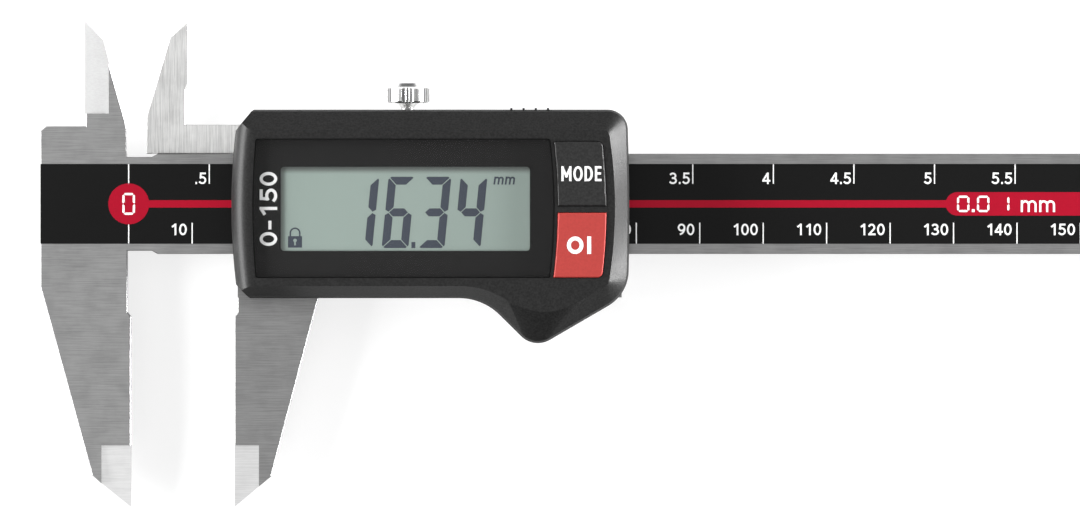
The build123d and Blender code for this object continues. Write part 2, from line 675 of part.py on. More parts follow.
TRAY_WIDTH = CELL_DIAMETER + 2 * (CELL_GAP + TRAY_WALL)
TRAY_RIGHT = HOUSING_LENGTH - 5.1
TRAY_CENTRE = TRAY_RIGHT - TRAY_WIDTH / 2
LID_INNER = HOUSING_TOP - WALL
CELL_CENTRE = LID_INNER - CELL_GAP - CELL_DIAMETER / 2
TRAY_REAR = CELL_CENTRE - CELL_DIAMETER / 2 - CELL_GAP - TRAY_WALL
GUIDE_THICKNESS = 0.8
GUIDE_HEIGHT = 2.6

base_outline = housing_plan(RAIL_FRONT, SKIRT + SKIRT_GAP)
with BuildPart() as housing_base:
    extrude(base_outline, amount=BASE_THICKNESS)
    # the pickup board lies in a recess behind, and its connector comes through a window
    with BuildSketch(SLIDER.offset(RAIL_FRONT)):
        with Locations(PICKUP_PLACE):
            Rectangle(PICKUP_LENGTH + 2 * SCREW_FIT, PICKUP_WIDTH + 2 * SCREW_FIT)
        for place in WIPER_PLACES.values():
            with Locations((place, 0)):
                Rectangle(WIPER_WIDTH, WIPER_LENGTH)
    extrude(amount=PICKUP_FRONT - RAIL_FRONT, mode=Mode.SUBTRACT)
    with BuildSketch(SLIDER.offset(RAIL_FRONT)):
        for place in WIPER_PLACES.values():
            with Locations((place, 0)):
                Rectangle(WIPER_WIDTH, WIPER_LENGTH)
    extrude(amount=WIPER_TOP - RAIL_FRONT, mode=Mode.SUBTRACT)
    with BuildSketch(SLIDER.offset(RAIL_FRONT)):
        with Locations(LINK_PLACE):
            Rectangle(LINK_SIZE[0] + 2 * LINK_GAP, LINK_SIZE[1] + 2 * LINK_GAP)
        with Locations(*HOUSING_SCREW_POINTS):
            Circle(HOUSING_SCREW_RADIUS + SCREW_FIT)
    extrude(amount=BASE_THICKNESS, mode=Mode.SUBTRACT)
    # two ribs guide the battery tray
    with BuildSketch(SLIDER.offset(BASE_FRONT)):
        for side in (-1, 1):
            rib_place = side * (TRAY_WIDTH / 2 + TRAY_GAP + GUIDE_THICKNESS / 2)
            with Locations((TRAY_CENTRE + rib_place, (TRAY_REAR + LID_INNER) / 2)):
                Rectangle(GUIDE_THICKNESS, LID_INNER - TRAY_REAR - 2.0)
    extrude(amount=GUIDE_HEIGHT)
housing_base.part.label = "housing_base"
export_step(housing_base.part, "parts/housing_base.step")

for label, place in WIPER_PLACES.items():
    with BuildPart() as wiper:
        with BuildSketch(SLIDER.offset(BEAM_THICKNESS + RAIL_GAP)):
            with Locations((place, 0)):
                Rectangle(WIPER_WIDTH, WIPER_LENGTH)
        extrude(amount=WIPER_TOP - BEAM_THICKNESS - RAIL_GAP)
    wiper.part.label = label
    export_step(wiper.part, f"parts/{label}.step")

gasket_outer = housing_plan(BASE_FRONT, SKIRT + 2 * SKIRT_GAP)
gasket_inner = housing_plan(BASE_FRONT, WALL - 0.3)
with BuildPart() as housing_gasket:
    extrude(gasket_outer, amount=GASKET_THICKNESS)
    extrude(gasket_inner, amount=GASKET_THICKNESS, mode=Mode.SUBTRACT)
housing_gasket.part.label = "housing_gasket"
export_step(housing_gasket.part, "parts/housing_gasket.step")

# ---------------------------------------------------------------- display and button outlines
LENS_LEFT = 3.01
LENS_RIGHT = HOUSING_LENGTH - 11.85
LENS_TOP = HOUSING_TOP - 4.7
LENS_BOTTOM = -HOUSING_BOTTOM + 3.26
PANEL_MIDDLE = (LENS_TOP + LENS_BOTTOM) / 2
PANEL_HALF = (LENS_TOP - LENS_BOTTOM) / 2
PANEL_BOW = 0.68
LENS_LEFT_BOW = 0.5
WINDOW_LEFT = LENS_LEFT + 4.39
WINDOW_RIGHT = LENS_RIGHT - 3.8
WINDOW_WIDTH = WINDOW_RIGHT - WINDOW_LEFT
WINDOW_PLACE = ((WINDOW_LEFT + WINDOW_RIGHT) / 2, WINDOW_CENTRE)
GLASS_WIDTH = WINDOW_WIDTH + 2 * GLASS_MARGIN_X
GLASS_HEIGHT = WINDOW_HEIGHT + 2 * GLASS_MARGIN_Y
GLASS_GAP = 0.3
BUTTON_LEFT = LENS_RIGHT + 0.6
BUTTON_RIGHT = HOUSING_LENGTH - 3.66
BUTTON_SPLIT = -0.9
BUTTON_SPACE = 1.1
BUTTON_CORNER = 0.9
BUTTON_ROUNDING = 0.22


def panel_edge(middle, y):
    """x at height y of an edge that bows outwards with the right side of the display."""
    return middle - PANEL_BOW * ((y - PANEL_MIDDLE) / PANEL_HALF) ** 2


def lens_outline(height, grow=0.0):
    """The display window's outline, with both short sides bowed."""
    left = LENS_LEFT + LENS_LEFT_BOW
    right = panel_edge(LENS_RIGHT, LENS_TOP)
    with BuildSketch(SLIDER.offset(height)) as outline:
        with BuildLine():
            Line((left, LENS_TOP), (right, LENS_TOP))
            ThreePointArc((right, LENS_TOP), (LENS_RIGHT, PANEL_MIDDLE), (right, LENS_BOTTOM))
            Line((right, LENS_BOTTOM), (left, LENS_BOTTOM))
            ThreePointArc((left, LENS_BOTTOM), (LENS_LEFT, PANEL_MIDDLE), (left, LENS_TOP))
        make_face()
        fillet(outline.vertices(), 0.3)
        if grow:
            offset(amount=grow)
    return outline.sketch


def button_outline(height, low, high, corner, grow=0.0):
    """A button between two heights, bowed like the display. corner is its outer far corner."""
    middle = (low + high) / 2
    with BuildSketch(SLIDER.offset(height)) as outline:
        with BuildLine():
            Line((panel_edge(BUTTON_LEFT, high), high), (panel_edge(BUTTON_RIGHT, high), high))
            ThreePointArc(
                (panel_edge(BUTTON_RIGHT, high), high),
                (panel_edge(BUTTON_RIGHT, middle), middle),
                (panel_edge(BUTTON_RIGHT, low), low),
            )
            Line((panel_edge(BUTTON_RIGHT, low), low), (panel_edge(BUTTON_LEFT, low), low))
            ThreePointArc(
                (panel_edge(BUTTON_LEFT, low), low),
                (panel_edge(BUTTON_LEFT, middle), middle),
                (panel_edge(BUTTON_LEFT, high), high),
            )
        make_face()
        outer_corner = (BUTTON_RIGHT, corner)
        fillet(outline.vertices().sort_by_distance(outer_corner)[0], BUTTON_CORNER)
        if grow:
            offset(amount=grow)
    return outline.sketch


BUTTONS = {
    "mode": (BUTTON_SPLIT + BUTTON_SPACE / 2, LENS_TOP - 0.4, LENS_TOP),
    "power": (LENS_BOTTOM, BUTTON_SPLIT - BUTTON_SPACE / 2, LENS_BOTTOM),
}

# ---------------------------------------------------------------- housing shell
BOARD_SCREW_POINTS = (
    (14.0, LENS_TOP - 1.15),
    (31.0, LENS_TOP - 1.15),
    (14.0, LENS_BOTTOM + 1.4),
    (40.0, LENS_BOTTOM + 1.4),
)
SCREW_TIP = SLIDER_BACK + SCREW_SINK + HOUSING_SCREW_LENGTH
BOARD_SCREW_DEPTH = CONTACT_STRIP_HEIGHT + 0.5
TRAY_HEIGHT = TRAY_TOP - TRAY_BOTTOM
TRAY_MIDDLE = (TRAY_TOP + TRAY_BOTTOM) / 2

skirt_space = housing_plan(RAIL_FRONT, SKIRT)
inner_space = housing_plan(SHOULDER, WALL)
lens_pocket = lens_outline(LENS_SEAT, LENS_GAP)
button_openings = [button_outline(FRONT_INNER, *limits, BUTTON_GAP) for limits in BUTTONS.values()]

with BuildPart() as housing_shell:
    add(housing_form.part)
    extrude(skirt_space, amount=SHOULDER - RAIL_FRONT, mode=Mode.SUBTRACT)
    extrude(inner_space, amount=FRONT_INNER - SHOULDER, mode=Mode.SUBTRACT)
    with BuildSketch(SLIDER.offset(BASE_FRONT)):
        with Locations(*HOUSING_SCREW_POINTS):
            Circle(BOSS_RADIUS)
    extrude(amount=FRONT_INNER - BASE_FRONT)
    with BuildSketch(SLIDER.offset(BOARD_FRONT)):
        with Locations(*BOARD_SCREW_POINTS):
            Circle(BOARD_BOSS_RADIUS)
    extrude(amount=FRONT_INNER - BOARD_FRONT)
    extrude(lens_pocket, amount=PLATEAU - LENS_SEAT + 1, mode=Mode.SUBTRACT)
    with BuildSketch(SLIDER.offset(FRONT_INNER)):
        with Locations(WINDOW_PLACE):
            Rectangle(GLASS_WIDTH + 2 * GLASS_GAP, GLASS_HEIGHT + 2 * GLASS_GAP)
    extrude(amount=FRONT_WALL, mode=Mode.SUBTRACT)
    for opening in button_openings:
        extrude(opening, amount=FRONT_WALL + 1, mode=Mode.SUBTRACT)
    # way out for the battery tray
    with BuildSketch(Plane.XZ.offset(-LID_INNER + 1)):
        with Locations((OPENING + TRAY_CENTRE, TRAY_MIDDLE)):
            Rectangle(TRAY_WIDTH + 2 * TRAY_GAP, TRAY_HEIGHT + 2 * TRAY_GAP)
    extrude(amount=-WALL - 2, mode=Mode.SUBTRACT)
    with BuildSketch(SLIDER.offset(BASE_FRONT)):
        with Locations(*HOUSING_SCREW_POINTS):
            Circle(HOUSING_SCREW_RADIUS + SCREW_FIT)
    extrude(amount=SCREW_TIP - BASE_FRONT + 0.2, mode=Mode.SUBTRACT)
    with BuildSketch(SLIDER.offset(BOARD_FRONT)):
        with Locations(*BOARD_SCREW_POINTS):
            Circle(BOARD_SCREW_RADIUS + SCREW_FIT)
    extrude(amount=BOARD_SCREW_DEPTH + 0.1, mode=Mode.SUBTRACT)
housing_shell.part.label = "housing_shell"
export_step(housing_shell.part, "parts/housing_shell.step")

housing_screw = countersunk_screw(HOUSING_SCREW_RADIUS, HOUSING_SCREW_LENGTH)
with BuildPart() as housing_screws:
    with Locations(*at_back(on_slider(HOUSING_SCREW_POINTS), SLIDER_BACK + SCREW_SINK)):
        add(housing_screw)
housing_screws.part.label = "housing_screws"
export_step(housing_screws.part, "parts/housing_screws.step")

# ---------------------------------------------------------------- display
lens_face = lens_outline(LENS_BACK)
mask_face = lens_outline(LENS_SEAT)

with BuildPart() as display_window:
    extrude(lens_face, amount=LENS_THICKNESS)
    chamfer(display_window.faces().sort_by(Axis.Z)[-1].edges(), EDGE_BREAK)
display_window.part.label = "display_window"
export_step(display_window.part, "parts/display_window.step")

with BuildPart() as display_mask:
    extrude(mask_face, amount=MASK_THICKNESS)
    with BuildSketch(SLIDER.offset(LENS_SEAT)):
        with Locations(WINDOW_PLACE):
            RectangleRounded(WINDOW_WIDTH, WINDOW_HEIGHT, 0.6)
    extrude(amount=MASK_THICKNESS, mode=Mode.SUBTRACT)
display_mask.part.label = "display_mask"
export_step(display_mask.part, "parts/display_mask.step")

REAR_GLASS_HEIGHT = GLASS_HEIGHT - 2 * (CONTACT_STRIP_WIDTH + 2 * LENS_GAP)
with BuildPart() as lcd_panel:
    with BuildSketch(SLIDER.offset(FRONT_INNER - GLASS_THICKNESS)):
        with Locations(WINDOW_PLACE):
            Rectangle(GLASS_WIDTH, REAR_GLASS_HEIGHT)
    extrude(amount=GLASS_THICKNESS)
    with BuildSketch(SLIDER.offset(FRONT_INNER)):
        with Locations(WINDOW_PLACE):
            Rectangle(GLASS_WIDTH, GLASS_HEIGHT)
    extrude(amount=GLASS_THICKNESS)
lcd_panel.part.label = "lcd_panel"
export_step(lcd_panel.part, "parts/lcd_panel.step")

with BuildPart() as lcd_connectors:
    with BuildSketch(SLIDER.offset(BOARD_FRONT)):
        with Locations(WINDOW_PLACE):
            with GridLocations(0, GLASS_HEIGHT - CONTACT_STRIP_WIDTH, 1, 2):
                Rectangle(GLASS_WIDTH - 2, CONTACT_STRIP_WIDTH)
    extrude(amount=CONTACT_STRIP_HEIGHT)
lcd_connectors.part.label = "lcd_connectors"
export_step(lcd_connectors.part, "parts/lcd_connectors.step")

# ---------------------------------------------------------------- boards
BOARD_LEFT = 3.0
BOARD_RIGHT = HOUSING_LENGTH - 3.2
BOARD_TOP = LENS_TOP + 0.25
BOARD_BOTTOM = LENS_BOTTOM + 0.1

with BuildPart() as main_board:
    with BuildSketch(SLIDER.offset(BOARD_BACK)):
        with Locations(((BOARD_LEFT + BOARD_RIGHT) / 2, (BOARD_TOP + BOARD_BOTTOM) / 2)):
            Rectangle(BOARD_RIGHT - BOARD_LEFT, BOARD_TOP - BOARD_BOTTOM)
        with Locations(*HOUSING_SCREW_POINTS):
            Circle(BOSS_RADIUS + BOARD_GAP, mode=Mode.SUBTRACT)
        with Locations(*BOARD_SCREW_POINTS):
            Circle(BOARD_SCREW_RADIUS + SCREW_FIT, mode=Mode.SUBTRACT)
    extrude(amount=BOARD_THICKNESS)
main_board.part.label = "main_board"
export_step(main_board.part, "parts/main_board.step")

# chip, crystal and capacitors hang under the main board, left of the battery tray
CHIP_PLACE = (12.0, -2.5)
CRYSTAL_PLACE = (10.0, 5.0)
CAPACITOR_PLACE = (27.0, 4.8)
with BuildPart() as board_components:
    with BuildSketch(SLIDER.offset(BOARD_BACK)):
        with Locations(CHIP_PLACE):
            Rectangle(7, 7)
    extrude(amount=-1.2)
    with BuildSketch(SLIDER.offset(BOARD_BACK)):
        with Locations(CRYSTAL_PLACE):
            SlotOverall(6, 2)
        with Locations(CAPACITOR_PLACE):
            with GridLocations(2.6, 2.4, 2, 3):
                Rectangle(1.6, 0.9)
    extrude(amount=-0.8)
board_components.part.label = "board_components"
export_step(board_components.part, "parts/board_components.step")

with BuildPart() as board_screw:
    Cylinder(1.0, 0.4, align=(Align.CENTER, Align.CENTER, Align.MAX))
    Cylinder(
        BOARD_SCREW_RADIUS,
        BOARD_THICKNESS + BOARD_SCREW_DEPTH,
        align=(Align.CENTER, Align.CENTER, Align.MIN),
    )
    with BuildSketch(Plane.XY.offset(-0.4)):
        Rectangle(1.3, 0.25)
        Rectangle(0.25, 1.3)
    extrude(amount=0.25, mode=Mode.SUBTRACT)

with BuildPart() as board_screws:
    with Locations(*[(x, y, BOARD_BACK) for x, y in on_slider(BOARD_SCREW_POINTS)]):
        add(board_screw.part)
board_screws.part.label = "board_screws"
export_step(board_screws.part, "parts/board_screws.step")

with BuildPart() as pickup_board:
    with BuildSketch(SLIDER.offset(PICKUP_BACK)):
        with Locations(PICKUP_PLACE):
            Rectangle(PICKUP_LENGTH, PICKUP_WIDTH)
    extrude(amount=BOARD_THICKNESS)
pickup_board.part.label = "pickup_board"
export_step(pickup_board.part, "parts/pickup_board.step")

with BuildPart() as pickup_connector:
    with BuildSketch(SLIDER.offset(PICKUP_FRONT)):
        with Locations(LINK_PLACE):
            Rectangle(*LINK_SIZE)
    extrude(amount=BOARD_BACK - PICKUP_FRONT)
pickup_connector.part.label = "pickup_connector"
export_step(pickup_connector.part, "parts/pickup_connector.step")

# ---------------------------------------------------------------- buttons and their domes
for name, (low, high, corner) in BUTTONS.items():
    cap_face = button_outline(BOARD_FRONT + DOME_HEIGHT, low, high, corner)
    flange_face = button_outline(BOARD_FRONT + DOME_HEIGHT, low, high, corner, BUTTON_FLANGE)
    with BuildPart() as button:
        extrude(cap_face, amount=PLATEAU + BUTTON_PROUD - BOARD_FRONT - DOME_HEIGHT)
        fillet(button.faces().sort_by(Axis.Z)[-1].edges(), BUTTON_ROUNDING)
        extrude(flange_face, amount=BUTTON_FLANGE_THICKNESS)
    button.part.label = f"{name}_button"
    export_step(button.part, f"parts/{name}_button.step")

    dome_x = OPENING + (BUTTON_LEFT + BUTTON_RIGHT) / 2
    dome_place = Plane(origin=(dome_x, (low + high) / 2, BOARD_FRONT))
    with BuildPart() as dome:
        with BuildSketch(Plane(dome_place.origin, x_dir=(1, 0, 0), z_dir=(0, -1, 0))):
            with BuildLine():
                Polyline(
                    (0, DOME_HEIGHT),
                    (DOME_RADIUS * 0.55, DOME_HEIGHT * 0.75),
                    (DOME_RADIUS, 0),
                    (DOME_RADIUS - 0.2, 0),
                    (DOME_RADIUS * 0.5, DOME_HEIGHT * 0.5),
                    (0, DOME_HEIGHT * 0.7),
                    close=True,
                )
            make_face()
        revolve(axis=Axis(dome_place.origin, (0, 0, 1)))
    dome.part.label = f"{name}_dome"
    export_step(dome.part, f"parts/{name}_dome.step")

# ---------------------------------------------------------------- battery, tray and contacts
SEAL_START = LID_INNER + 0.55
SEAL_OUTER = TRAY_GAP - RAIL_GAP
RING_TOP = CELL_TOP - 0.4
RIB_PITCH = 1.92
RIB_WIDTH = 0.35
RIB_PROUD = 0.2

with BuildPart() as battery_tray:
    with BuildSketch(SLIDER.offset(TRAY_BOTTOM)) as tray_outline:
        with Locations((TRAY_CENTRE, (TRAY_REAR + LID_INNER) / 2)):
            Rectangle(TRAY_WIDTH, LID_INNER - TRAY_REAR)
        fillet(tray_outline.vertices().group_by(Axis.Y)[0], CELL_DIAMETER * 0.4)
    extrude(amount=RING_TOP - TRAY_BOTTOM)
    with BuildSketch(SLIDER.offset(TRAY_BOTTOM)):
        with Locations((TRAY_CENTRE, LID_INNER + WALL / 2)):
            Rectangle(TRAY_WIDTH, WALL)
    extrude(amount=TRAY_HEIGHT)
    with BuildSketch(SLIDER.offset(TRAY_BOTTOM + TRAY_FLOOR)):
        with Locations((TRAY_CENTRE, CELL_CENTRE)):
            Circle(CELL_DIAMETER / 2 + CELL_GAP)
    extrude(amount=CELL_HEIGHT, mode=Mode.SUBTRACT)
    # slot for the spring contact under the cell, open to the rear
    with BuildSketch(SLIDER.offset(TRAY_BOTTOM)):
        with Locations((TRAY_CENTRE, TRAY_REAR)):
            Rectangle(CONTACT_SLOT, CELL_DIAMETER * 1.5)
    extrude(amount=TRAY_FLOOR, mode=Mode.SUBTRACT)
    add(housing_form.part, mode=Mode.INTERSECT)
    # groove for the seal round the lid
    with BuildSketch(Plane.XZ.offset(-SEAL_START)):
        with Locations((OPENING + TRAY_CENTRE, TRAY_MIDDLE)):
            Rectangle(TRAY_WIDTH + 2, TRAY_HEIGHT + 2)
            Rectangle(TRAY_WIDTH - 2 * SEAL_DEPTH, TRAY_HEIGHT - 2 * SEAL_DEPTH, mode=Mode.SUBTRACT)
    extrude(amount=-SEAL_WIDTH, mode=Mode.SUBTRACT)
    # ribs for the fingernail
    with BuildSketch(Plane.XZ.offset(-HOUSING_TOP + 0.8)):
        with Locations((OPENING + TRAY_CENTRE, TRAY_MIDDLE)):
            with GridLocations(RIB_PITCH, 0, 4, 1):
                Rectangle(RIB_WIDTH, TRAY_HEIGHT - 1.0)
    extrude(amount=-0.8 - RIB_PROUD)
battery_tray.part.label = "battery_tray"
export_step(battery_tray.part, "parts/battery_tray.step")

with BuildPart() as battery_seal:
    with BuildSketch(Plane.XZ.offset(-SEAL_START)):
        with Locations((OPENING + TRAY_CENTRE, TRAY_MIDDLE)):
            Rectangle(TRAY_WIDTH + 2 * SEAL_OUTER, TRAY_HEIGHT + 2 * SEAL_OUTER)
            Rectangle(TRAY_WIDTH - 2 * SEAL_DEPTH, TRAY_HEIGHT - 2 * SEAL_DEPTH, mode=Mode.SUBTRACT)
    extrude(amount=-SEAL_WIDTH)
battery_seal.part.label = "battery_seal"
export_step(battery_seal.part, "parts/battery_seal.step")

with BuildPart() as coin_cell:
    with BuildSketch(SLIDER.offset(CELL_BOTTOM)):
        with Locations((TRAY_CENTRE, CELL_CENTRE)):
            Circle(CELL_DIAMETER / 2 - 1.1)
    extrude(amount=CELL_HEIGHT)
    with BuildSketch(SLIDER.offset(CELL_BOTTOM + 0.5)):
        with Locations((TRAY_CENTRE, CELL_CENTRE)):
            Circle(CELL_DIAMETER / 2)
    extrude(amount=CELL_HEIGHT - 0.5)
coin_cell.part.label = "coin_cell"
export_step(coin_cell.part, "parts/coin_cell.step")

# leaf under the cell: it stands on the base behind the tray and reaches up to the board
LEAF = 0.2
LEAF_WIDTH = 4.0
CONTACT_TOUCH = 0.03
LEAF_TAB = TRAY_REAR - 0.6
LEAF_TOP = CELL_BOTTOM - CONTACT_TOUCH
with BuildPart() as battery_contact_negative:
    with BuildSketch(Plane.YZ.offset(OPENING + TRAY_CENTRE - LEAF_WIDTH / 2)):
        with BuildLine():
            Polyline(
                (LEAF_TAB, BOARD_BACK),
                (LEAF_TAB, BASE_FRONT),
                (TRAY_REAR + 2.0, BASE_FRONT),
                (CELL_CENTRE, LEAF_TOP - LEAF),
                (CELL_CENTRE + 1.5, LEAF_TOP - LEAF),
                (CELL_CENTRE + 1.5, LEAF_TOP),
                (CELL_CENTRE, LEAF_TOP),
                (TRAY_REAR + 2.0, BASE_FRONT + LEAF),
                (LEAF_TAB + LEAF, BASE_FRONT + LEAF),
                (LEAF_TAB + LEAF, BOARD_BACK),
                close=True,
            )
        make_face()
    extrude(amount=LEAF_WIDTH)
battery_contact_negative.part.label = "battery_contact_negative"
export_step(battery_contact_negative.part, "parts/battery_contact_negative.step")

with BuildPart() as battery_contact_positive:
    with BuildSketch(Plane.YZ.offset(OPENING + TRAY_CENTRE - LEAF_WIDTH / 2)):
        with BuildLine():
            Polyline(
                (CELL_CENTRE - 6.0, BOARD_BACK),
                (CELL_CENTRE - 6.0, BOARD_BACK - LEAF),
                (CELL_CENTRE - 4.0, BOARD_BACK - LEAF),
                (CELL_CENTRE, CELL_TOP + CONTACT_TOUCH),
                (CELL_CENTRE + 1.5, CELL_TOP + CONTACT_TOUCH),
                (CELL_CENTRE + 1.5, CELL_TOP + CONTACT_TOUCH + LEAF),
                (CELL_CENTRE, CELL_TOP + CONTACT_TOUCH + LEAF),
                (CELL_CENTRE - 4.0, BOARD_BACK),
                close=True,
            )
        make_face()
    extrude(amount=LEAF_WIDTH)
battery_contact_positive.part.label = "battery_contact_positive"
export_step(battery_contact_positive.part, "parts/battery_contact_positive.step")
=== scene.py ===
# %% [markdown]
# # A digital caliper, finished around its CAD model
# The CAD model already holds every solid of the tool at its true size: beam, slider, jaws,
# housing, display, buttons and battery tray. This script loads it as a fixed frame and adds
# what CAD doesn't carry: brushed steel, moulded plastic, printed scales and the display's
# digits. A caliper is read by its prints. They could be painted by a material, but a layer of
# its own stays sharp at any zoom, so each print is made as a real thin layer of ink.

# %% Load the frame
import json
import math

import bmesh
import bpy
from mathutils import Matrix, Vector
from mathutils.geometry import delaunay_2d_cdt


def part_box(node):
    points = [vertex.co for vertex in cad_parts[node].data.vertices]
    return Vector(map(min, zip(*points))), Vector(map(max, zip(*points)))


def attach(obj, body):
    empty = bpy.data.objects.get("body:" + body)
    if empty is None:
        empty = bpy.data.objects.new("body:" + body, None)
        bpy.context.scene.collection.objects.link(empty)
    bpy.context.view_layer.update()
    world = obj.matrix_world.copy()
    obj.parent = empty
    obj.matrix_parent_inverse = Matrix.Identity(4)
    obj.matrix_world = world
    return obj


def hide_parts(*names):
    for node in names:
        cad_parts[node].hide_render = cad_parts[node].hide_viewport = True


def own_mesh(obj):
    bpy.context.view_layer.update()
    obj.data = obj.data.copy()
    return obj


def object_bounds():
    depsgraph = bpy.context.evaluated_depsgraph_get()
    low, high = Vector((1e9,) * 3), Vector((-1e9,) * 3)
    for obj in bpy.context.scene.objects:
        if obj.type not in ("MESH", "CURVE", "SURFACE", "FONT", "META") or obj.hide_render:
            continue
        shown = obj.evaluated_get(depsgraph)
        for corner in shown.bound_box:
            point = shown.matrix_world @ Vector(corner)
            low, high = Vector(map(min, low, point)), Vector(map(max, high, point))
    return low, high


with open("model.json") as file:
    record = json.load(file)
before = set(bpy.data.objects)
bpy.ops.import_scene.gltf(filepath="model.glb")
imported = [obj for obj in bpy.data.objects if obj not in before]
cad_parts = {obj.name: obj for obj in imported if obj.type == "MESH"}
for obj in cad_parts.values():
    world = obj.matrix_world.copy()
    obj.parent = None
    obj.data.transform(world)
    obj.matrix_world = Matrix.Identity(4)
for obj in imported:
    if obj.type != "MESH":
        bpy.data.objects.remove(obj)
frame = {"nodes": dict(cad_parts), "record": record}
cad_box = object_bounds()
nodes = frame["nodes"]
MM = 0.001
print("CAD box in mm:", [[round(c / MM, 1) for c in corner] for corner in cad_box])

# %% [markdown]
# ## Where things are
# Every place below is read from the frame, in millimetres, so the prints stay on their
# surfaces when the CAD changes. The scale's zero lies a little behind the jaw's measuring
# face, as on the real tool, where nothing is read against the jaw itself. One small helper
# puts an object with its data into the scene.

# %% Read places from the frame
def box_mm(node):
    """The lowest and highest corner of a CAD node in millimetres."""
    low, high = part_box(node)
    return low / MM, high / MM


beam_low = box_mm("beam")[0]
film_low, film_high = box_mm("scale_film")
glass_low, glass_high = box_mm("lcd_panel")
lens_low = box_mm("display_window")[0]
mask_high = box_mm("display_mask")[1]
mode_low, mode_high = box_mm("mode_button")
power_low, power_high = box_mm("power_button")
SCALE_ZERO = -0.35
FILM_MIDDLE = (film_low.y + film_high.y) / 2
GLASS_MARGIN = Vector((1.95, 1.5))  # the part of the display's glass that the mask covers
window_low = glass_low.xy + GLASS_MARGIN
window_high = glass_high.xy - GLASS_MARGIN
print("film front at z", round(film_high.z, 3), "glass front at z", round(glass_high.z, 3))
print("window in the mask:", [round(v, 2) for v in (*window_low, *window_high)])


def in_scene(name, data):
    """A new object with that data, linked into the scene."""
    made = bpy.data.objects.new(name, data)
    bpy.context.scene.collection.objects.link(made)
    return made


# %% [markdown]
# ## Writing shader maths like arithmetic
# A finish is a small network of nodes. Wiring each Math node by hand hides what is meant, so
# one small class wraps an output and lets Python's own operators add the nodes: `1 - mask`
# becomes a Subtract node. A second class is the bench on which one finish is made. Its single
# method `node` makes any other node, with its settings first and its sockets after that.

# %% The wrapped socket
class Wire:
    """One output of a shader node. Operators on it add Math nodes to the same finish."""

    def __init__(self, finish, socket):
        self.finish = finish
        self.socket = socket

    def maths(self, operation, first, second):
        return self.finish.node(
            "ShaderNodeMath", {"operation": operation}, {0: first, 1: second}
        )

    def __add__(self, other):
        return self.maths("ADD", self, other)

    def __sub__(self, other):
        return self.maths("SUBTRACT", self, other)

    def __rsub__(self, other):
        return self.maths("SUBTRACT", other, self)

    def __mul__(self, other):
        return self.maths("MULTIPLY", self, other)

    def __gt__(self, other):
        return self.maths("GREATER_THAN", self, other)

    def __lt__(self, other):
        return self.maths("LESS_THAN", self, other)

    def __abs__(self):
        return self.maths("ABSOLUTE", self, 0.0)

    __radd__ = __add__
    __rmul__ = __mul__


# %% The bench for one finish
def find_socket(sockets, key):
    """A socket by its index, or by its identifier or name."""
    if isinstance(key, int):
        return sockets[key]
    for socket in sockets:
        if socket.identifier == key:
            return socket
    return sockets[key]


class Finish:
    """A material with one Principled shader, and the nodes that feed it."""

    def __init__(self, name, **fixed):
        self.material = bpy.data.materials.new(name)
        self.material.use_nodes = True
        self.tree = self.material.node_tree
        self.tree.nodes.clear()
        self.shader = self.tree.nodes.new("ShaderNodeBsdfPrincipled")
        output = self.tree.nodes.new("ShaderNodeOutputMaterial")
        self.tree.links.new(self.shader.outputs["BSDF"], output.inputs["Surface"])
        for words, value in fixed.items():
            self.feed(words.replace("_", " ").title().replace("Ior", "IOR"), value)

    def connect(self, socket, value):
        """Puts a wire, a number, a vector or a colour on an input."""
        if isinstance(value, Wire):
            self.tree.links.new(value.socket, socket)
        elif socket.type == "RGBA" and len(value) == 3:
            socket.default_value = (*value, 1.0)
        else:
            socket.default_value = value

    def feed(self, name, value):
        """Feeds an input of the shader itself."""
        self.connect(self.shader.inputs[name], value)

    def node(self, kind, settings=None, sockets=None, output=0):
        """Adds any node: its settings are set first, then its sockets. Returns one output."""
        made = self.tree.nodes.new(kind)
        for name, value in (settings or {}).items():
            setattr(made, name, value)
        for key, value in (sockets or {}).items():
            self.connect(find_socket(made.inputs, key), value)
        return Wire(self, find_socket(made.outputs, output))

    def place(self):
        """The point on the piece in millimetres. It moves with the piece."""
        point = self.node("ShaderNodeTexCoord", output="Object")
        return self.node(
            "ShaderNodeVectorMath", {"operation": "SCALE"}, {0: point, "Scale": 1 / MM}
        )

    def along(self, vector, axis):
        """One of a vector's three numbers."""
        return self.node("ShaderNodeSeparateXYZ", sockets={0: vector}, output=axis)

    def facing(self, axis):
        """How squarely the face looks along an axis: 1 is straight on, 0 is edge on."""
        return abs(self.along(self.node("ShaderNodeTexCoord", output="Normal"), axis))

    def stretched(self, vector, factors):
        """A vector with each of its numbers multiplied."""
        return self.node(
            "ShaderNodeVectorMath", {"operation": "MULTIPLY"}, {0: vector, 1: factors}
        )

    def noise(self, vector, scale, detail=2.0, roughness=0.5):
        """Soft noise from 0 to 1. scale is the number of blobs in a millimetre."""
        return self.node(
            "ShaderNodeTexNoise",
            sockets={
                "Vector": vector, "Scale": scale, "Detail": detail, "Roughness": roughness,
            },
            output="Fac",
        )

    def mix(self, factor, first, second):
        """Goes from one colour to another."""
        return self.node(
            "ShaderNodeMix",
            {"data_type": "RGBA"},
            {"Factor_Float": factor, "A_Color": first, "B_Color": second},
            output="Result_Color",
        )

    def step(self, value, low, high):
        """Rises smoothly from 0 at low to 1 at high."""
        return self.node(
            "ShaderNodeMapRange",
            {"interpolation_type": "SMOOTHSTEP"},
            {"Value": value, "From Min": low, "From Max": high},
        )

    def relief(self, height, strength, depth_mm):
        """Feeds a height from 0 to 1 to the shader as bumps of that depth."""
        bump = self.node(
            "ShaderNodeBump",
            sockets={"Strength": strength, "Distance": depth_mm * MM, "Height": height},
            output="Normal",
        )
        self.feed("Normal", bump)


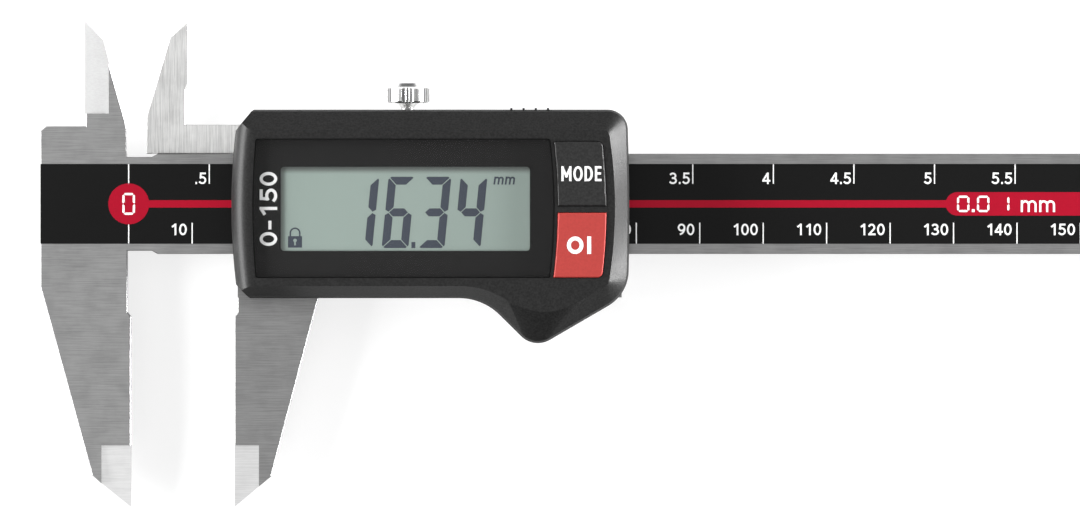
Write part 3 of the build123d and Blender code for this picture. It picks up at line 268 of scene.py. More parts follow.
def grey(value):
    """A neutral colour."""
    return (value, value, value)


print("bench ready")

# %% [markdown]
# ## Ground and brushed steel
# The beam, slider and jaws are hardened steel, ground flat and then brushed with fine belts:
# along the beam on the large faces, and across it on the slider's inside blade and arm.
# Brushing could be an anisotropic shader, but that needs a direction that varies. Long thin
# noise does the same with bumps and keeps the hairlines visible when seen from close by. The
# sheen of steel brushed across is painted: it gets a far paler grey than steel brushed along.
# From the measuring face onwards the steel is oiled and a shade darker. The ground faces of
# the blades and knife tips are tilted a little, so the surface's own normal finds them, and
# they get a fine grind with fewer scratches. Their grey is painted light for their tilt: a
# painted highlight on the knife tips and the slider's upper blade, and painted shade on the
# beam's upper blade.

# %% Steel for the beam and the slider
STEEL_FLAT = (0.43, 0.43, 0.43)
STEEL_OILED = (0.36, 0.36, 0.36)
# Steel brushed across: a painted sheen, far paler than the same steel brushed along.
STEEL_CROSS_PAINTED_SHEEN = (0.93, 0.93, 0.92)
STEEL_SCRATCH = grey(0.10)
NO_CROSS = 1000.0
ALONG_X = (0.16, 6.0, 6.0)
ALONG_Y = (6.0, 0.16, 6.0)
OILED_FROM, OILED_FULLY = 1.0, 9.0
TILTED = (0.80, 0.86)
FLAT = 0.9985


def brushed_steel(name, cross_from, blade_painted_light, knife_painted_light):
    """Steel brushed along X, and along Y above the height cross_from in millimetres.

    The last two are the painted greys of the ground faces above and below the beam: painted
    highlight and painted shade for how their tilt catches the lamps.
    """
    steel = Finish(name, metallic=1.0)
    point = steel.place()
    # Where the steel is brushed across; this mask also brings in its painted sheen.
    cross_brushed_and_sheen = steel.step(steel.along(point, "Y"), cross_from - 0.1, cross_from + 0.1)
    facing = steel.facing("Z")
    # The tilted ground faces: a finer grind, and a grey painted for their tilt.
    grind_and_painted_light = steel.step(facing, *TILTED) * (facing < FLAT)
    along_hairs = steel.noise(steel.stretched(point, ALONG_X), 1.0, 5.0, 0.7)
    across_hairs = steel.noise(steel.stretched(point, ALONG_Y), 1.0, 5.0, 0.7)
    hairs = along_hairs * (1 - cross_brushed_and_sheen) + across_hairs * cross_brushed_and_sheen
    patches = steel.noise(point, 0.35, 3.0)
    oiled = steel.step(steel.along(point, "X"), OILED_FROM, OILED_FULLY)
    tone = steel.mix(oiled, STEEL_FLAT, STEEL_OILED)
    # Painted sheen where the steel is brushed across.
    tone = steel.mix(cross_brushed_and_sheen, tone, STEEL_CROSS_PAINTED_SHEEN)
    above = steel.along(point, "Y") > 0.0
    # The ground faces' grey is painted light and shade for their tilt.
    painted_ground_light = steel.mix(above, grey(knife_painted_light), grey(blade_painted_light))
    tone = steel.mix(grind_and_painted_light, tone, painted_ground_light)
    darkened = steel.step(hairs, 0.34, 0.66) * 0.30 + steel.step(patches, 0.3, 0.8) * 0.16
    scratched = darkened * (1 - grind_and_painted_light * 0.55)
    steel.feed("Base Color", steel.mix(scratched, tone, STEEL_SCRATCH))
    steel.feed("Roughness", 0.32 + hairs * 0.14)
    steel.relief(hairs, 0.4, 0.010)
    return steel.material


ARM_FROM = 7.9
# The last two greys are painted highlight and shade for the tilt of the ground faces.
beam_steel = brushed_steel("beam_steel", NO_CROSS, 0.37, 1.0)
slider_steel = brushed_steel("slider_steel", ARM_FROM, 1.0, 0.93)
print("steels:", beam_steel.name, slider_steel.name)

# %% [markdown]
# ## Small metal parts
# Screws are turned steel, so their hairlines run in rings; a little noise is enough at their
# size. The gib and the lock's pad are drawn bronze, the contacts gold-plated spring strip,
# and the coin cell is a pressed steel can. The lock screw's head is chromed and polished,
# but a polishing wheel can't reach into its grip grooves, so they and the shank stay dull.
# Their grey is also painted darker, as painted shade in the grooves. The distance from the
# screw's own axis tells where they are.

# %% Small metals
def plain_metal(name, colour, roughness, scratch=0.1, stretch=(3.0, 3.0, 3.0)):
    """A metal with faint scratches. stretch gives their scale along each axis."""
    metal = Finish(name, metallic=1.0)
    hairs = metal.noise(metal.stretched(metal.place(), stretch), 1.0, 3.0)
    darker = tuple(c * 0.72 for c in colour)
    metal.feed("Base Color", metal.mix(hairs, colour, darker))
    metal.feed("Roughness", roughness + hairs * scratch)
    metal.relief(hairs, 0.25, 0.006)
    return metal.material


screw_steel = plain_metal("turned_screw_steel", (0.46, 0.46, 0.45), 0.24)
bronze = plain_metal("drawn_bronze", (0.62, 0.42, 0.18), 0.26, 0.12, (0.2, 5.0, 5.0))
contact_gold = plain_metal("gold_plated_strip", (0.83, 0.66, 0.33), 0.2)
cell_can = plain_metal("pressed_cell_can", (0.70, 0.70, 0.69), 0.22, 0.12, (1.5, 1.5, 6.0))
print("metals:", screw_steel.name, bronze.name, contact_gold.name, cell_can.name)

# %% Chrome with dull grooves in painted shade
GROOVE_FROM = 0.06
SIDE_WALL = 0.4
lock_low, lock_high = box_mm("lock_screw")
lock_middle = (lock_low + lock_high) / 2
head_radius = (lock_high.x - lock_low.x) / 2
chrome = Finish("polished_chrome", metallic=1.0)
chrome_point = chrome.place()
aside = chrome.along(chrome_point, "X") - lock_middle.x
ahead = chrome.along(chrome_point, "Z") - lock_middle.z
sunk = (aside * aside + ahead * ahead) < (head_radius - GROOVE_FROM) ** 2
# The grip grooves and the shank: rougher, and painted darker as shade.
dull_groove_and_shade = sunk * (chrome.facing("Y") < SIDE_WALL)
wear = chrome.noise(chrome_point, 3.0, 3.0)
bright_chrome = chrome.mix(wear, grey(0.96), grey(0.72))
# The grooves and shank get a painted shade: a darker grey than the polished head.
chrome.feed("Base Color", chrome.mix(dull_groove_and_shade, bright_chrome, grey(0.42)))
chrome.feed("Roughness", 0.2 + wear * 0.06 + dull_groove_and_shade * 0.15)
chrome.relief(wear, 0.25, 0.006)
print("chrome head radius", round(head_radius, 2), "mm")

# %% [markdown]
# ## Moulded plastic and rubber
# The housing is glass-filled nylon from a spark-eroded mould. That leaves a grain of about a
# quarter of a millimetre, which shows as a faint sparkle on the bevels. The buttons are
# silicone, softer in their shine. Each gets two sizes of noise: a fine one for the grain and
# a broad one that varies the sheen. Steep walls are duller, because a part is drawn out of
# its mould along them and the grain drags.

# %% Plastic, silicone and rubber
STEEP = (0.10, 0.35)
WALL_DULLNESS = 0.55


def moulded(name, colour, roughness, grain_mm, depth_mm, variation=0.35, specular=0.3):
    """A moulded surface with a grain of that size and depth."""
    skin = Finish(name, specular_ior_level=specular)
    point = skin.place()
    grain = skin.noise(point, 1 / grain_mm, 3.0, 0.6)
    cloud = skin.noise(point, 0.25, 2.0)
    pale = tuple(min(1.0, c * (1 + variation)) for c in colour)
    deep = tuple(c * (1 - variation) for c in colour)
    skin.feed("Base Color", skin.mix(skin.step(grain, 0.3, 0.7), deep, pale))
    wall = 1 - skin.step(skin.facing("Z"), *STEEP)
    sheen = (cloud - 0.5) * 0.08 + (grain - 0.5) * 0.2
    skin.feed("Roughness", roughness + sheen + wall * WALL_DULLNESS)
    skin.relief(grain, 0.6, depth_mm)
    return skin.material


housing_plastic = moulded("housing_plastic", grey(0.015), 0.36, 0.28, 0.035, 0.35, 0.19)
dark_silicone = moulded("dark_silicone", grey(0.016), 0.45, 0.35, 0.02)
red_silicone = moulded("red_silicone", (0.40, 0.041, 0.035), 0.5, 0.35, 0.02, 0.06)
seal_rubber = moulded("seal_rubber", grey(0.02), 0.65, 0.5, 0.02)
chip_resin = moulded("chip_resin", grey(0.022), 0.55, 0.2, 0.02)
print("moulded:", housing_plastic.name, dark_silicone.name, red_silicone.name)

# %% [markdown]
# ## Felt and circuit boards
# The wipers are pressed felt: short crossing fibres, so two stretched noises are laid over
# each other. The boards are fibreglass under green solder mask, with darker copper-free
# strips between the tracks; a brick pattern gives the straight runs of the tracks.

# %% Felt
felt = Finish("pressed_felt", roughness=0.95, sheen_weight=0.4, sheen_roughness=0.5)
felt_point = felt.place()
fibres = felt.noise(felt.stretched(felt_point, (9.0, 1.5, 6.0)), 1.0, 4.0, 0.7)
crossing = felt.noise(felt.stretched(felt_point, (1.5, 9.0, 6.0)), 1.0, 4.0, 0.7)
nap = fibres * 0.5 + crossing * 0.5
felt.feed("Base Color", felt.mix(felt.step(nap, 0.35, 0.65), grey(0.05), grey(0.16)))
felt.relief(nap, 0.9, 0.08)
print("felt:", felt.material.name)

# %% Circuit board
board = Finish("circuit_board", coat_weight=0.3, coat_roughness=0.25)
board_point = board.place()
tracks = board.node(
    "ShaderNodeTexBrick",
    {"offset": 0.37},
    {"Vector": board_point, "Scale": 0.55, "Mortar Size": 0.035, "Mortar Smooth": 0.2},
    output="Fac",
)
weave = board.noise(board_point, 2.2, 2.0)
board_green = board.mix(tracks, (0.015, 0.10, 0.045), (0.03, 0.17, 0.07))
board.feed("Base Color", board.mix(weave * 0.3, board_green, (0.01, 0.05, 0.02)))
board.feed("Roughness", 0.38 + weave * 0.1)
board.relief(tracks, 0.4, 0.03)
print("boards:", board.material.name)

# %% [markdown]
# ## The scale's film and its inks
# A matt black polyester film is glued into the beam's channel and printed in white and red.
# The film has a very fine emboss. The inks are as matt as the film but never perfectly even,
# so a slow noise thins them slightly.

# %% Film and inks
film = Finish("scale_film", specular_ior_level=0.12)
film_point = film.place()
emboss = film.noise(film_point, 6.0, 2.0)
film.feed("Base Color", film.mix(emboss, grey(0.003), grey(0.006)))
film.feed("Roughness", 0.42 + emboss * 0.15)
film.relief(emboss, 0.3, 0.008)


def ink(name, colour, thin=0.08, roughness=0.45):
    """A printed ink that is slightly uneven."""
    printed = Finish(name, specular_ior_level=0.15)
    cover = printed.noise(printed.place(), 1.3, 3.0)
    thinner = tuple(c * (1 - 2 * thin) for c in colour)
    printed.feed("Base Color", printed.mix(cover, colour, thinner))
    printed.feed("Roughness", roughness + cover * 0.1)
    return printed.material


white_ink = ink("white_ink", grey(0.95), 0.03)
red_ink = ink("red_ink", (0.38, 0.0008, 0.018))
print("film and inks:", film.material.name, white_ink.name, red_ink.name)

# %% [markdown]
# ## The display
# Under a clear hard-coated window lies a black printed mask, and in its opening the display
# glass: a grey-green reflector that darkens softly at its rim, where the mask's shadow falls,
# most of all along its top. The window is a clear sheet, so it is nearly transparent where it
# is flat and keeps only its gloss. The digits are the liquid crystal's own blue-grey.

# %% Display glass, mask and window
glass = Finish("display_glass", roughness=0.35, coat_weight=0.35, coat_roughness=0.08)
RIM_COLOUR = (0.12, 0.14, 0.13)
REFLECTOR = ((0.290, 0.362, 0.328), (0.312, 0.386, 0.352))
glass_point = glass.place()
glass_x = glass.along(glass_point, "X")
glass_y = glass.along(glass_point, "Y")
rim = (
    glass.step(glass_x, window_low.x - 0.2, window_low.x + 0.8)
    * glass.step(window_high.x - glass_x, -0.4, 0.25)
    * glass.step(window_high.y - glass_y, 0.2, 1.25)
    * glass.step(glass_y - window_low.y, -0.3, 0.2)
)
haze = glass.noise(glass_point, 0.3, 3.0)
glass.feed("Base Color", glass.mix(rim, RIM_COLOUR, glass.mix(haze * 0.5, *REFLECTOR)))

CLEAR_EDGE, CLEARER_WHEN_FLAT = 0.55, 0.48
mask_print = moulded("mask_print", grey(0.015), 0.35, 0.8, 0.004, 0.06, 0.12)
clear_sheet = Finish("clear_window", base_color=grey(0.02))
sheet_smear = clear_sheet.noise(clear_sheet.place(), 0.12, 3.0)
sheet_flat = clear_sheet.step(clear_sheet.facing("Z"), 0.80, 0.99)
clear_sheet.feed("Roughness", 0.10 + sheet_smear * 0.08)
clear_sheet.feed("Alpha", CLEAR_EDGE - sheet_flat * CLEARER_WHEN_FLAT)
crystal_ink = ink("crystal_ink", (0.064, 0.074, 0.096), 0.05, 0.4)
print("display:", glass.material.name, mask_print.name, clear_sheet.material.name)

# %% [markdown]
# ## Finishes onto the CAD pieces
# On the real tool nearly every piece is of one material. The frame's objects keep their
# meshes; only their material slots change. This could be a line for each piece, but one table
# says it at a glance, and names that share an ending are filled in by a loop.

# %% Assign finishes
finish_of = {
    "beam": beam_steel,
    "slider": slider_steel,
    "end_stop": beam_steel,
    "depth_rod": beam_steel,
    "gib_strip": bronze,
    "lock_pad": bronze,
    "lock_screw": chrome.material,
    "coin_cell": cell_can,
    "scale_film": film.material,
    "housing_base": housing_plastic,
    "housing_shell": housing_plastic,
    "battery_tray": housing_plastic,
    "mode_button": dark_silicone,
    "power_button": red_silicone,
    "wiper_left": felt.material,
    "wiper_right": felt.material,
    "housing_gasket": seal_rubber,
    "battery_seal": seal_rubber,
    "lcd_connectors": seal_rubber,
    "display_window": clear_sheet.material,
    "display_mask": mask_print,
    "lcd_panel": glass.material,
    "board_components": chip_resin,
    "pickup_connector": chip_resin,
}
for owner in ("end_stop", "gib", "depth_rod", "housing", "board"):
    finish_of[f"{owner}_screws"] = screw_steel
for owner in ("scale", "main", "pickup"):
    finish_of[f"{owner}_board"] = board.material
for key in ("mode", "power"):
    finish_of[f"{key}_dome"] = contact_gold
for pole in ("negative", "positive"):
    finish_of[f"battery_contact_{pole}"] = contact_gold
for name, material in finish_of.items():
    for place in nodes[name].material_slots:
        place.material = material
print("finished:", len(finish_of), "of", len(nodes))
print("unfinished:", sorted(set(nodes) - set(finish_of)))

# %% [markdown]
# ## The window's clear sheet
# In the CAD the window lies exactly on its mask. A renderer can't tell which of two surfaces
# in one plane comes first, and a clear one over a black one then shows as dark triangles. A
# real sheet is held by its glue a hair's breadth off the print, so the shown sheet is a copy
# whose underside stands a few hundredths of a millimetre off the mask.

# %% A sheet with a gap under it
UNDER_SHEET = 0.05
underside = (lens_low.z + UNDER_SHEET) * MM
sheet_mesh = nodes["display_window"].data.copy()
for vertex in sheet_mesh.vertices:
    vertex.co.z = max(vertex.co.z, underside)
window_sheet = in_scene("window_sheet", sheet_mesh)
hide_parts("display_window")
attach(window_sheet, "slider")
print("window sheet:", len(sheet_mesh.vertices), "points, gap", UNDER_SHEET, "mm")

# %% [markdown]
# ## Copies of the snap domes
# Under each button a small metal dome clicks flat when it is pressed. It stands on the board,
# so it can't ride on the button, and it can't stay as it is either, because the button would
# sink into it. The shown domes are copies with meshes of their own on the slider. The share of
# their height that they would keep under a full press is worked out and printed, but they are
# not flattened here.

# %% Copies of the domes
joints = {joint["name"]: joint for joint in frame["record"]["behaviour"]["joints"]}
for key in ("mode", "power"):
    dome_low, dome_high = box_mm(f"{key}_dome")
    press = joints[f"{key}_button_press"]["range_m"][1] / MM
    tall = dome_high.z - dome_low.z
    dome = in_scene(f"{key}_snap_dome", nodes[f"{key}_dome"].data.copy())
    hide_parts(f"{key}_dome")
    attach(dome, "slider")
    keep = (tall - press) / tall
    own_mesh(dome)
    print(dome.name, "is", round(tall, 2), "mm tall and keeps", round(keep, 3))

# %% [markdown]
# ## Printing thin layers
# Screen-printed ink is a flat film about a hundredth of a millimetre thick. Here a print is a
# list of closed outlines in millimetres, which may overlap as a pen's strokes do. One planar
# triangulation cuts them all against each other, the parts inside any outline are kept, and
# the flat result is extruded into a closed solid. Booleans on solids would do the same more
# slowly, and overlapping flat faces would flicker.

# %% Outlines and the layer made of them
INK_THICKNESS = 0.01
SAME_POINT = 1e-5
DEGREES_A_STEP = 11


def moved(outlines, x, y, turn=0.0):
    """The outlines turned by an angle in degrees about 0, 0 and then moved."""
    cosine, sine = math.cos(math.radians(turn)), math.sin(math.radians(turn))
    return [
        [(x + u * cosine - v * sine, y + u * sine + v * cosine) for u, v in outline]
        for outline in outlines
    ]


def bar(low_x, low_y, high_x, high_y):
    """An upright rectangle."""
    return [(low_x, low_y), (high_x, low_y), (high_x, high_y), (low_x, high_y)]


def oval(x, y, half_wide, half_tall, start=0.0, end=360.0):
    """Points on an oval between two angles in degrees. A whole turn is a closed outline."""
    steps = max(8, round(abs(end - start) / DEGREES_A_STEP))
    last = steps if abs(end - start) == 360 else steps + 1
    turns = [math.radians(start + (end - start) * i / steps) for i in range(last)]
    return [(x + half_wide * math.cos(t), y + half_tall * math.sin(t)) for t in turns]


def anticlockwise(outline):
    """The outline in the order the triangulation wants."""
    area = sum(a[0] * b[1] - b[0] * a[1] for a, b in zip(outline, outline[1:] + outline[:1]))
    return outline if area > 0 else outline[::-1]


def layer(name, outlines, height, body, finish, holes=()):
    """One ink layer of those outlines less the holes. It lies at that height and rides."""
    points, rings = [], []
    for outline in (*outlines, *holes):
        rings.append([len(points) + i for i in range(len(outline))])
        points += [Vector(point) for point in anticlockwise(outline)]
    cut = delaunay_2d_cdt(points, [], rings, 1, SAME_POINT)
    solid = bmesh.new()
    corners = [solid.verts.new((x * MM, y * MM, height * MM)) for x, y in cut[0]]
    for triangle, inside in zip(cut[2], cut[5]):
        if inside and max(inside) < len(outlines):
            solid.faces.new([corners[i] for i in triangle])
    unused = [corner for corner in solid.verts if not corner.link_faces]
    bmesh.ops.delete(solid, geom=unused, context="VERTS")
    grown = bmesh.ops.extrude_face_region(solid, geom=solid.faces[:])["geom"]
    front = [v for v in grown if isinstance(v, bmesh.types.BMVert)]
    bmesh.ops.translate(solid, verts=front, vec=(0, 0, INK_THICKNESS * MM))
    bmesh.ops.recalc_face_normals(solid, faces=solid.faces[:])
    open_edges = sum(not edge.is_manifold for edge in solid.edges)
    mesh = bpy.data.meshes.new(name)
    solid.to_mesh(mesh)
    solid.free()
    mesh.materials.append(finish)
    piece = in_scene(name, mesh)
    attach(piece, body)
    print(f"{name}: {len(outlines)} outlines, {len(mesh.polygons)} faces")
    print("  open edges:", open_edges)


print("a layer of ink is", INK_THICKNESS, "mm thick")

# %% [markdown]
# ## Letters from pen strokes
# The numbers are a plain bold sans. A font would do, but its weight can only be changed by
# swelling its outlines, which blunts their corners. So each character is a few centre lines in
# a box of width 1 and height 1, drawn with a square-ended pen of constant width: that keeps
# the strokes equally heavy in every size and every width of letter. Each entry of the table
# says how far the character advances, how much of that its box takes, and its centre lines.

# %% Pen strokes
SHARPEST_MITRE = 0.6


def stroke(path, pen, closed=False):
    """A pen's stroke along points: four corners for each step, square at its ends."""
    path = [Vector(point) for point in path]
    if not closed:
        path[0] = path[0] + (path[0] - path[1]).normalized() * pen / 2
        path[-1] = path[-1] + (path[-1] - path[-2]).normalized() * pen / 2
    steps = [(b - a).normalized() for a, b in zip(path, path[1:] + path[:1])]
    if not closed:
        steps[-1] = steps[-2]
    left, right = [], []
    for i, point in enumerate(path):
        arriving = steps[i - 1] if i or closed else steps[0]
        ahead = (arriving + steps[i]).normalized()
        mitre = max(ahead.dot(steps[i]), SHARPEST_MITRE)
        side = Vector((-ahead.y, ahead.x)) * pen / 2 / mitre
        left.append(tuple(point + side))
        right.append(tuple(point - side))
    around = range(len(path)) if closed else range(1, len(path))
    return [[left[i - 1], right[i - 1], right[i], left[i]] for i in around]


WHOLE = oval(0.5, 0.5, 0.5, 0.5)
LOWER = oval(0.5, 0.31, 0.5, 0.31)
UPPER = oval(0.5, 0.69, 0.5, 0.31)
HEAD = oval(0.5, 0.76, 0.43, 0.24)
BELLY = oval(0.5, 0.27, 0.5, 0.27)
RINGS = [WHOLE, LOWER, UPPER, HEAD, BELLY]
LETTERS = {
    "0": (0.78, 0.66, [WHOLE]),
    "1": (0.78, 0.44, [[(0.95, 0), (0.95, 1)], [(0.12, 0.80), (0.86, 0.99)]]),
    "2": (0.78, 0.64, [
        oval(0.45, 0.70, 0.48, 0.30, 150, -32) + [(0.12, 0.08)], [(0.02, 0), (1, 0)],
    ]),
    "3": (0.78, 0.63, [
        oval(0.42, 0.76, 0.48, 0.24, 140, -90), oval(0.42, 0.26, 0.58, 0.26, 90, -140),
    ]),
    "4": (0.78, 0.70, [
        [(0.74, 0), (0.74, 1)], [(0.66, 0.96), (0.04, 0.34)], [(0, 0.25), (1, 0.25)],
    ]),
    "5": (0.78, 0.62, [
        [(0.14, 1), (0.92, 1)], [(0.14, 0.96), (0.10, 0.60)],
        oval(0.42, 0.31, 0.58, 0.31, 122, -140),
    ]),
    "6": (0.78, 0.66, [LOWER, oval(0.92, 0.36, 0.92, 0.64, 180, 108)]),
    "7": (0.78, 0.64, [[(0, 1), (1, 1)], [(0.96, 0.94), (0.34, 0.02)]]),
    "8": (0.78, 0.66, [HEAD, BELLY]),
    "9": (0.78, 0.66, [UPPER, oval(0.08, 0.64, 0.92, 0.64, 0, -72)]),
    ".": (0.34, 0.20, [[(0.5, 0), (0.5, 0.04)]]),
    "-": (0.56, 0.42, [[(0, 0.40), (1, 0.40)]]),
    "m": (1.40, 1.20, [
        [(0, 0), (0, 1)], oval(0.25, 0.66, 0.25, 0.34, 165, 0) + [(0.5, 0)],
        oval(0.75, 0.66, 0.25, 0.34, 165, 0) + [(1, 0)],
    ]),
    "M": (1.12, 0.92, [
        [(0, 0), (0, 1)], [(1, 0), (1, 1)], [(0.03, 0.94), (0.5, 0.30)],
        [(0.97, 0.94), (0.5, 0.30)],
    ]),
    "O": (1.00, 0.86, [WHOLE]),
    "D": (0.94, 0.76, [
        [(0, 0), (0, 1)], [(0, 1)] + oval(0.40, 0.5, 0.60, 0.5, 90, -90) + [(0, 0)],
    ]),
    "E": (0.80, 0.60, [
        [(0, 0), (0, 1)], [(0, 1), (1, 1)], [(0, 0.52), (0.9, 0.52)], [(0, 0), (1, 0)],
    ]),
}


def word(text, height, pen, width=None):
    """A word's outlines with its lower left corner at 0, 0, and its width."""
    places, reach = [], 0.0
    for character in text:
        advance, share, paths = LETTERS[character]
        places.append((reach + (advance - share) / 2, share, paths))
        reach += advance
    first, last = places[0][0], places[-1][0] + places[-1][1]
    scale = (width or (last - first) * height) / (last - first)
    outlines = []
    for left, share, paths in places:
        start = (left - first) * scale + pen / 2
        wide = share * scale - pen
        for path in paths:
            drawn = [(start + x * wide, pen / 2 + y * (height - pen)) for x, y in path]
            outlines += stroke(drawn, pen, path in RINGS)
    return outlines, (last - first) * scale


print("letters:", "".join(LETTERS))

# %% [markdown]
# ## Segment digits
# The display, the zero on the scale and the number in the red field share one construction:
# seven bars whose ends are cut at 45 degrees, so that a thin gap runs between neighbours. On
# the display they all lean to the right. They could be cut from a font, but seven bars make
# every digit from the same few outlines.

# %% Seven bars
TIP_SHARE = 0.42
TIP_BLUNTNESS = 0.6
LIT_BARS = {
    "0": "abcdef", "1": "bc", "2": "abdeg", "3": "abcdg", "4": "bcfg",
    "5": "acdfg", "6": "acdefg", "7": "abc", "8": "abcdefg", "9": "abcdfg",
}


def digit_bars(digit, width, height, pen, gap, lean=0.0, cut=0.0):
    """The outlines of a digit's bars, with its lower left corner at 0, 0.

    cut is what is taken off the digit's four outer corners.
    """
    middle = height / 2
    tip = pen * TIP_SHARE
    inner_left, inner_right = tip + gap, width - tip - gap
    top_bar = [
        (gap + cut, height), (width - gap - cut, height),
        (width - gap - cut / 2, height - cut / 2), (width - pen - gap, height - pen),
        (pen + gap, height - pen), (gap + cut / 2, height - cut / 2),
    ]
    left_bar = [
        (0, height - gap - cut), (cut / 2, height - gap - cut / 2),
        (pen, height - pen - gap), (pen, middle + pen - tip + gap),
        (tip, middle + gap), (0, middle + gap + tip * TIP_BLUNTNESS),
    ]
    middle_bar = [
        (inner_left, middle), (inner_left + pen / 2, middle + pen / 2),
        (inner_right - pen / 2, middle + pen / 2), (inner_right, middle),
        (inner_right - pen / 2, middle - pen / 2), (inner_left + pen / 2, middle - pen / 2),
    ]
    bars = {
        "a": top_bar,
        "d": [(x, height - y) for x, y in top_bar],
        "f": left_bar,
        "e": [(x, height - y) for x, y in left_bar],
        "b": [(width - x, y) for x, y in left_bar],
        "c": [(width - x, height - y) for x, y in left_bar],
        "g": middle_bar,
    }
    slope = math.tan(math.radians(lean))
    return [[(x + y * slope, y) for x, y in bars[key]] for key in LIT_BARS[digit]]


print("segment digits:", "".join(LIT_BARS))

# %% [markdown]
# ## The printed scale
# Half-inch lines run down from the channel's upper edge and centimetre lines up from its
# lower edge, each with its number to the left. A red line runs along the middle, from a disc
# with a zero at the measuring face to a long red field that states the tool's resolution.
# Red is printed first and white over it, as on a press.

# %% Lines and numbers in white
LINE_WIDTH = 0.18
INCH = 25.4
INCH_LINE = 3.1
CENTIMETRE_LINE = 3.3
NUMBER_HEIGHT = 1.82
NUMBER_PEN = 0.28
INCH_NUMBER_GAP = 0.47
CENTIMETRE_NUMBER_GAP = 0.85
NUMBER_LINE = 3.12
LAST_CENTIMETRE = 15
LAST_HALF_INCH = 12
scale_top = film_high.y
scale_bottom = film_low.y
white_outlines = []


def white_line(x, low, high):
    """One upright line of the scale."""
    white_outlines.append(bar(x - LINE_WIDTH / 2, low, x + LINE_WIDTH / 2, high))


def white_number(text, right, low):
    """A number whose right end and foot are given."""
    outlines, wide = word(text, NUMBER_HEIGHT, NUMBER_PEN)
    white_outlines.extend(moved(outlines, right - wide, low))


for count in range(1, LAST_HALF_INCH + 1):
    line_x = SCALE_ZERO + count * INCH / 2
    white_line(line_x, scale_top - INCH_LINE, scale_top)
    inches = f"{count / 2:g}".removeprefix("0")
    white_number(inches, line_x - INCH_NUMBER_GAP, NUMBER_LINE)
for count in range(1, LAST_CENTIMETRE + 1):
    line_x = SCALE_ZERO + count * 10
    white_line(line_x, scale_bottom, scale_bottom + CENTIMETRE_LINE)
    white_number(str(count * 10), line_x - CENTIMETRE_NUMBER_GAP, -NUMBER_LINE - NUMBER_HEIGHT)
print("white outlines so far:", len(white_outlines))

# %% Zero disc, red line and red field
DISC_RADIUS = 3.23
RED_LINE = 1.16
FIELD_START = 128.4
FIELD_LENGTH = 52.0
FIELD_HEIGHT = 3.7
FIELD_OVERLAP = 1.0
ZERO_SIZE = (2.0, 3.45)
ZERO_PEN = 0.36
ZERO_GAP = 0.07
field_half = FIELD_HEIGHT / 2
field_end = FIELD_START + FIELD_LENGTH
field = oval(FIELD_START + field_half, FILM_MIDDLE, field_half, field_half, 90, 270)
field += oval(field_end - field_half, FILM_MIDDLE, field_half, field_half, -90, 90)
line_end = FIELD_START + FIELD_OVERLAP
disc = oval(SCALE_ZERO, FILM_MIDDLE, DISC_RADIUS, DISC_RADIUS)
line = bar(SCALE_ZERO, FILM_MIDDLE - RED_LINE / 2, line_end, FILM_MIDDLE + RED_LINE / 2)
layer("scale_red_print", [disc, line, field], film_high.z, "beam", red_ink)

white_line(SCALE_ZERO, scale_bottom, FILM_MIDDLE - DISC_RADIUS)
white_line(SCALE_ZERO, FILM_MIDDLE + DISC_RADIUS, scale_top)
zero_bars = digit_bars("0", *ZERO_SIZE, ZERO_PEN, ZERO_GAP, cut=ZERO_PEN)
white_outlines += moved(
    zero_bars, SCALE_ZERO - ZERO_SIZE[0] / 2, FILM_MIDDLE - ZERO_SIZE[1] / 2
)

# %% The resolution in the red field
FIELD_DIGIT = (1.95, 2.58)
FIELD_PITCH = 3.15
FIELD_TEXT_START = 130.2
FIELD_PEN = 0.33
FIELD_DOT = 0.45
FIELD_GAP = 0.06
UNIT_HEIGHT = 1.85
UNIT_LENGTH = 5.4
UNIT_SPACE = 0.6
text_foot = FILM_MIDDLE - FIELD_DIGIT[1] / 2
for place, digit in enumerate("001"):
    bars = digit_bars(digit, *FIELD_DIGIT, FIELD_PEN, FIELD_GAP, cut=FIELD_PEN)
    white_outlines += moved(bars, FIELD_TEXT_START + place * FIELD_PITCH, text_foot)
dot_left = FIELD_TEXT_START + (FIELD_DIGIT[0] + FIELD_PITCH - FIELD_DOT) / 2
white_outlines.append(bar(dot_left, text_foot, dot_left + FIELD_DOT, text_foot + FIELD_DOT))
unit = word("mm", UNIT_HEIGHT, FIELD_PEN, UNIT_LENGTH)[0]
white_outlines += moved(unit, FIELD_TEXT_START + 3 * FIELD_PITCH + UNIT_SPACE, text_foot)
layer(
    "scale_white_print", white_outlines, film_high.z + INK_THICKNESS, "beam", white_ink,
)

# %% [markdown]
# ## What the display shows
# The display reads the gap of the jaws at rest, 16.34 millimetres, with its unit and a small
# padlock for the locked keypad. A print can't count, so it keeps this reading when the slider
# moves. The crystal lies just behind the front glass, and the digits sit on the glass as a
# layer of their own.

# %% The reading
DIGIT_HEIGHT = 11.2
DIGIT_WIDTH = 4.2
DIGIT_PITCH = 5.66
DIGIT_PEN = 1.25
DIGIT_GAP = 0.10
DIGIT_CUT = 0.35
LEAN = 5.6
DIGIT_FOOT_GAP = 0.45
LAST_DIGIT_GAP = 11.98
POINT_SIZE = (0.62, 0.95)
POINT_PLACE = 0.98
reading = joints["slider_travel"]["range_m"][0] / -MM
digits = f"{reading:.2f}".replace(".", "")
digit_foot = window_low.y + DIGIT_FOOT_GAP
last_left = window_high.x - LAST_DIGIT_GAP
display_outlines = []
for place, digit in enumerate(digits):
    left = last_left - (len(digits) - 1 - place) * DIGIT_PITCH
    bars = digit_bars(digit, DIGIT_WIDTH, DIGIT_HEIGHT, DIGIT_PEN, DIGIT_GAP, LEAN, DIGIT_CUT)
    display_outlines += moved(bars, left, digit_foot)
point = bar(0, 0, *POINT_SIZE)
display_outlines += moved([point], last_left - DIGIT_PITCH - POINT_PLACE, digit_foot)
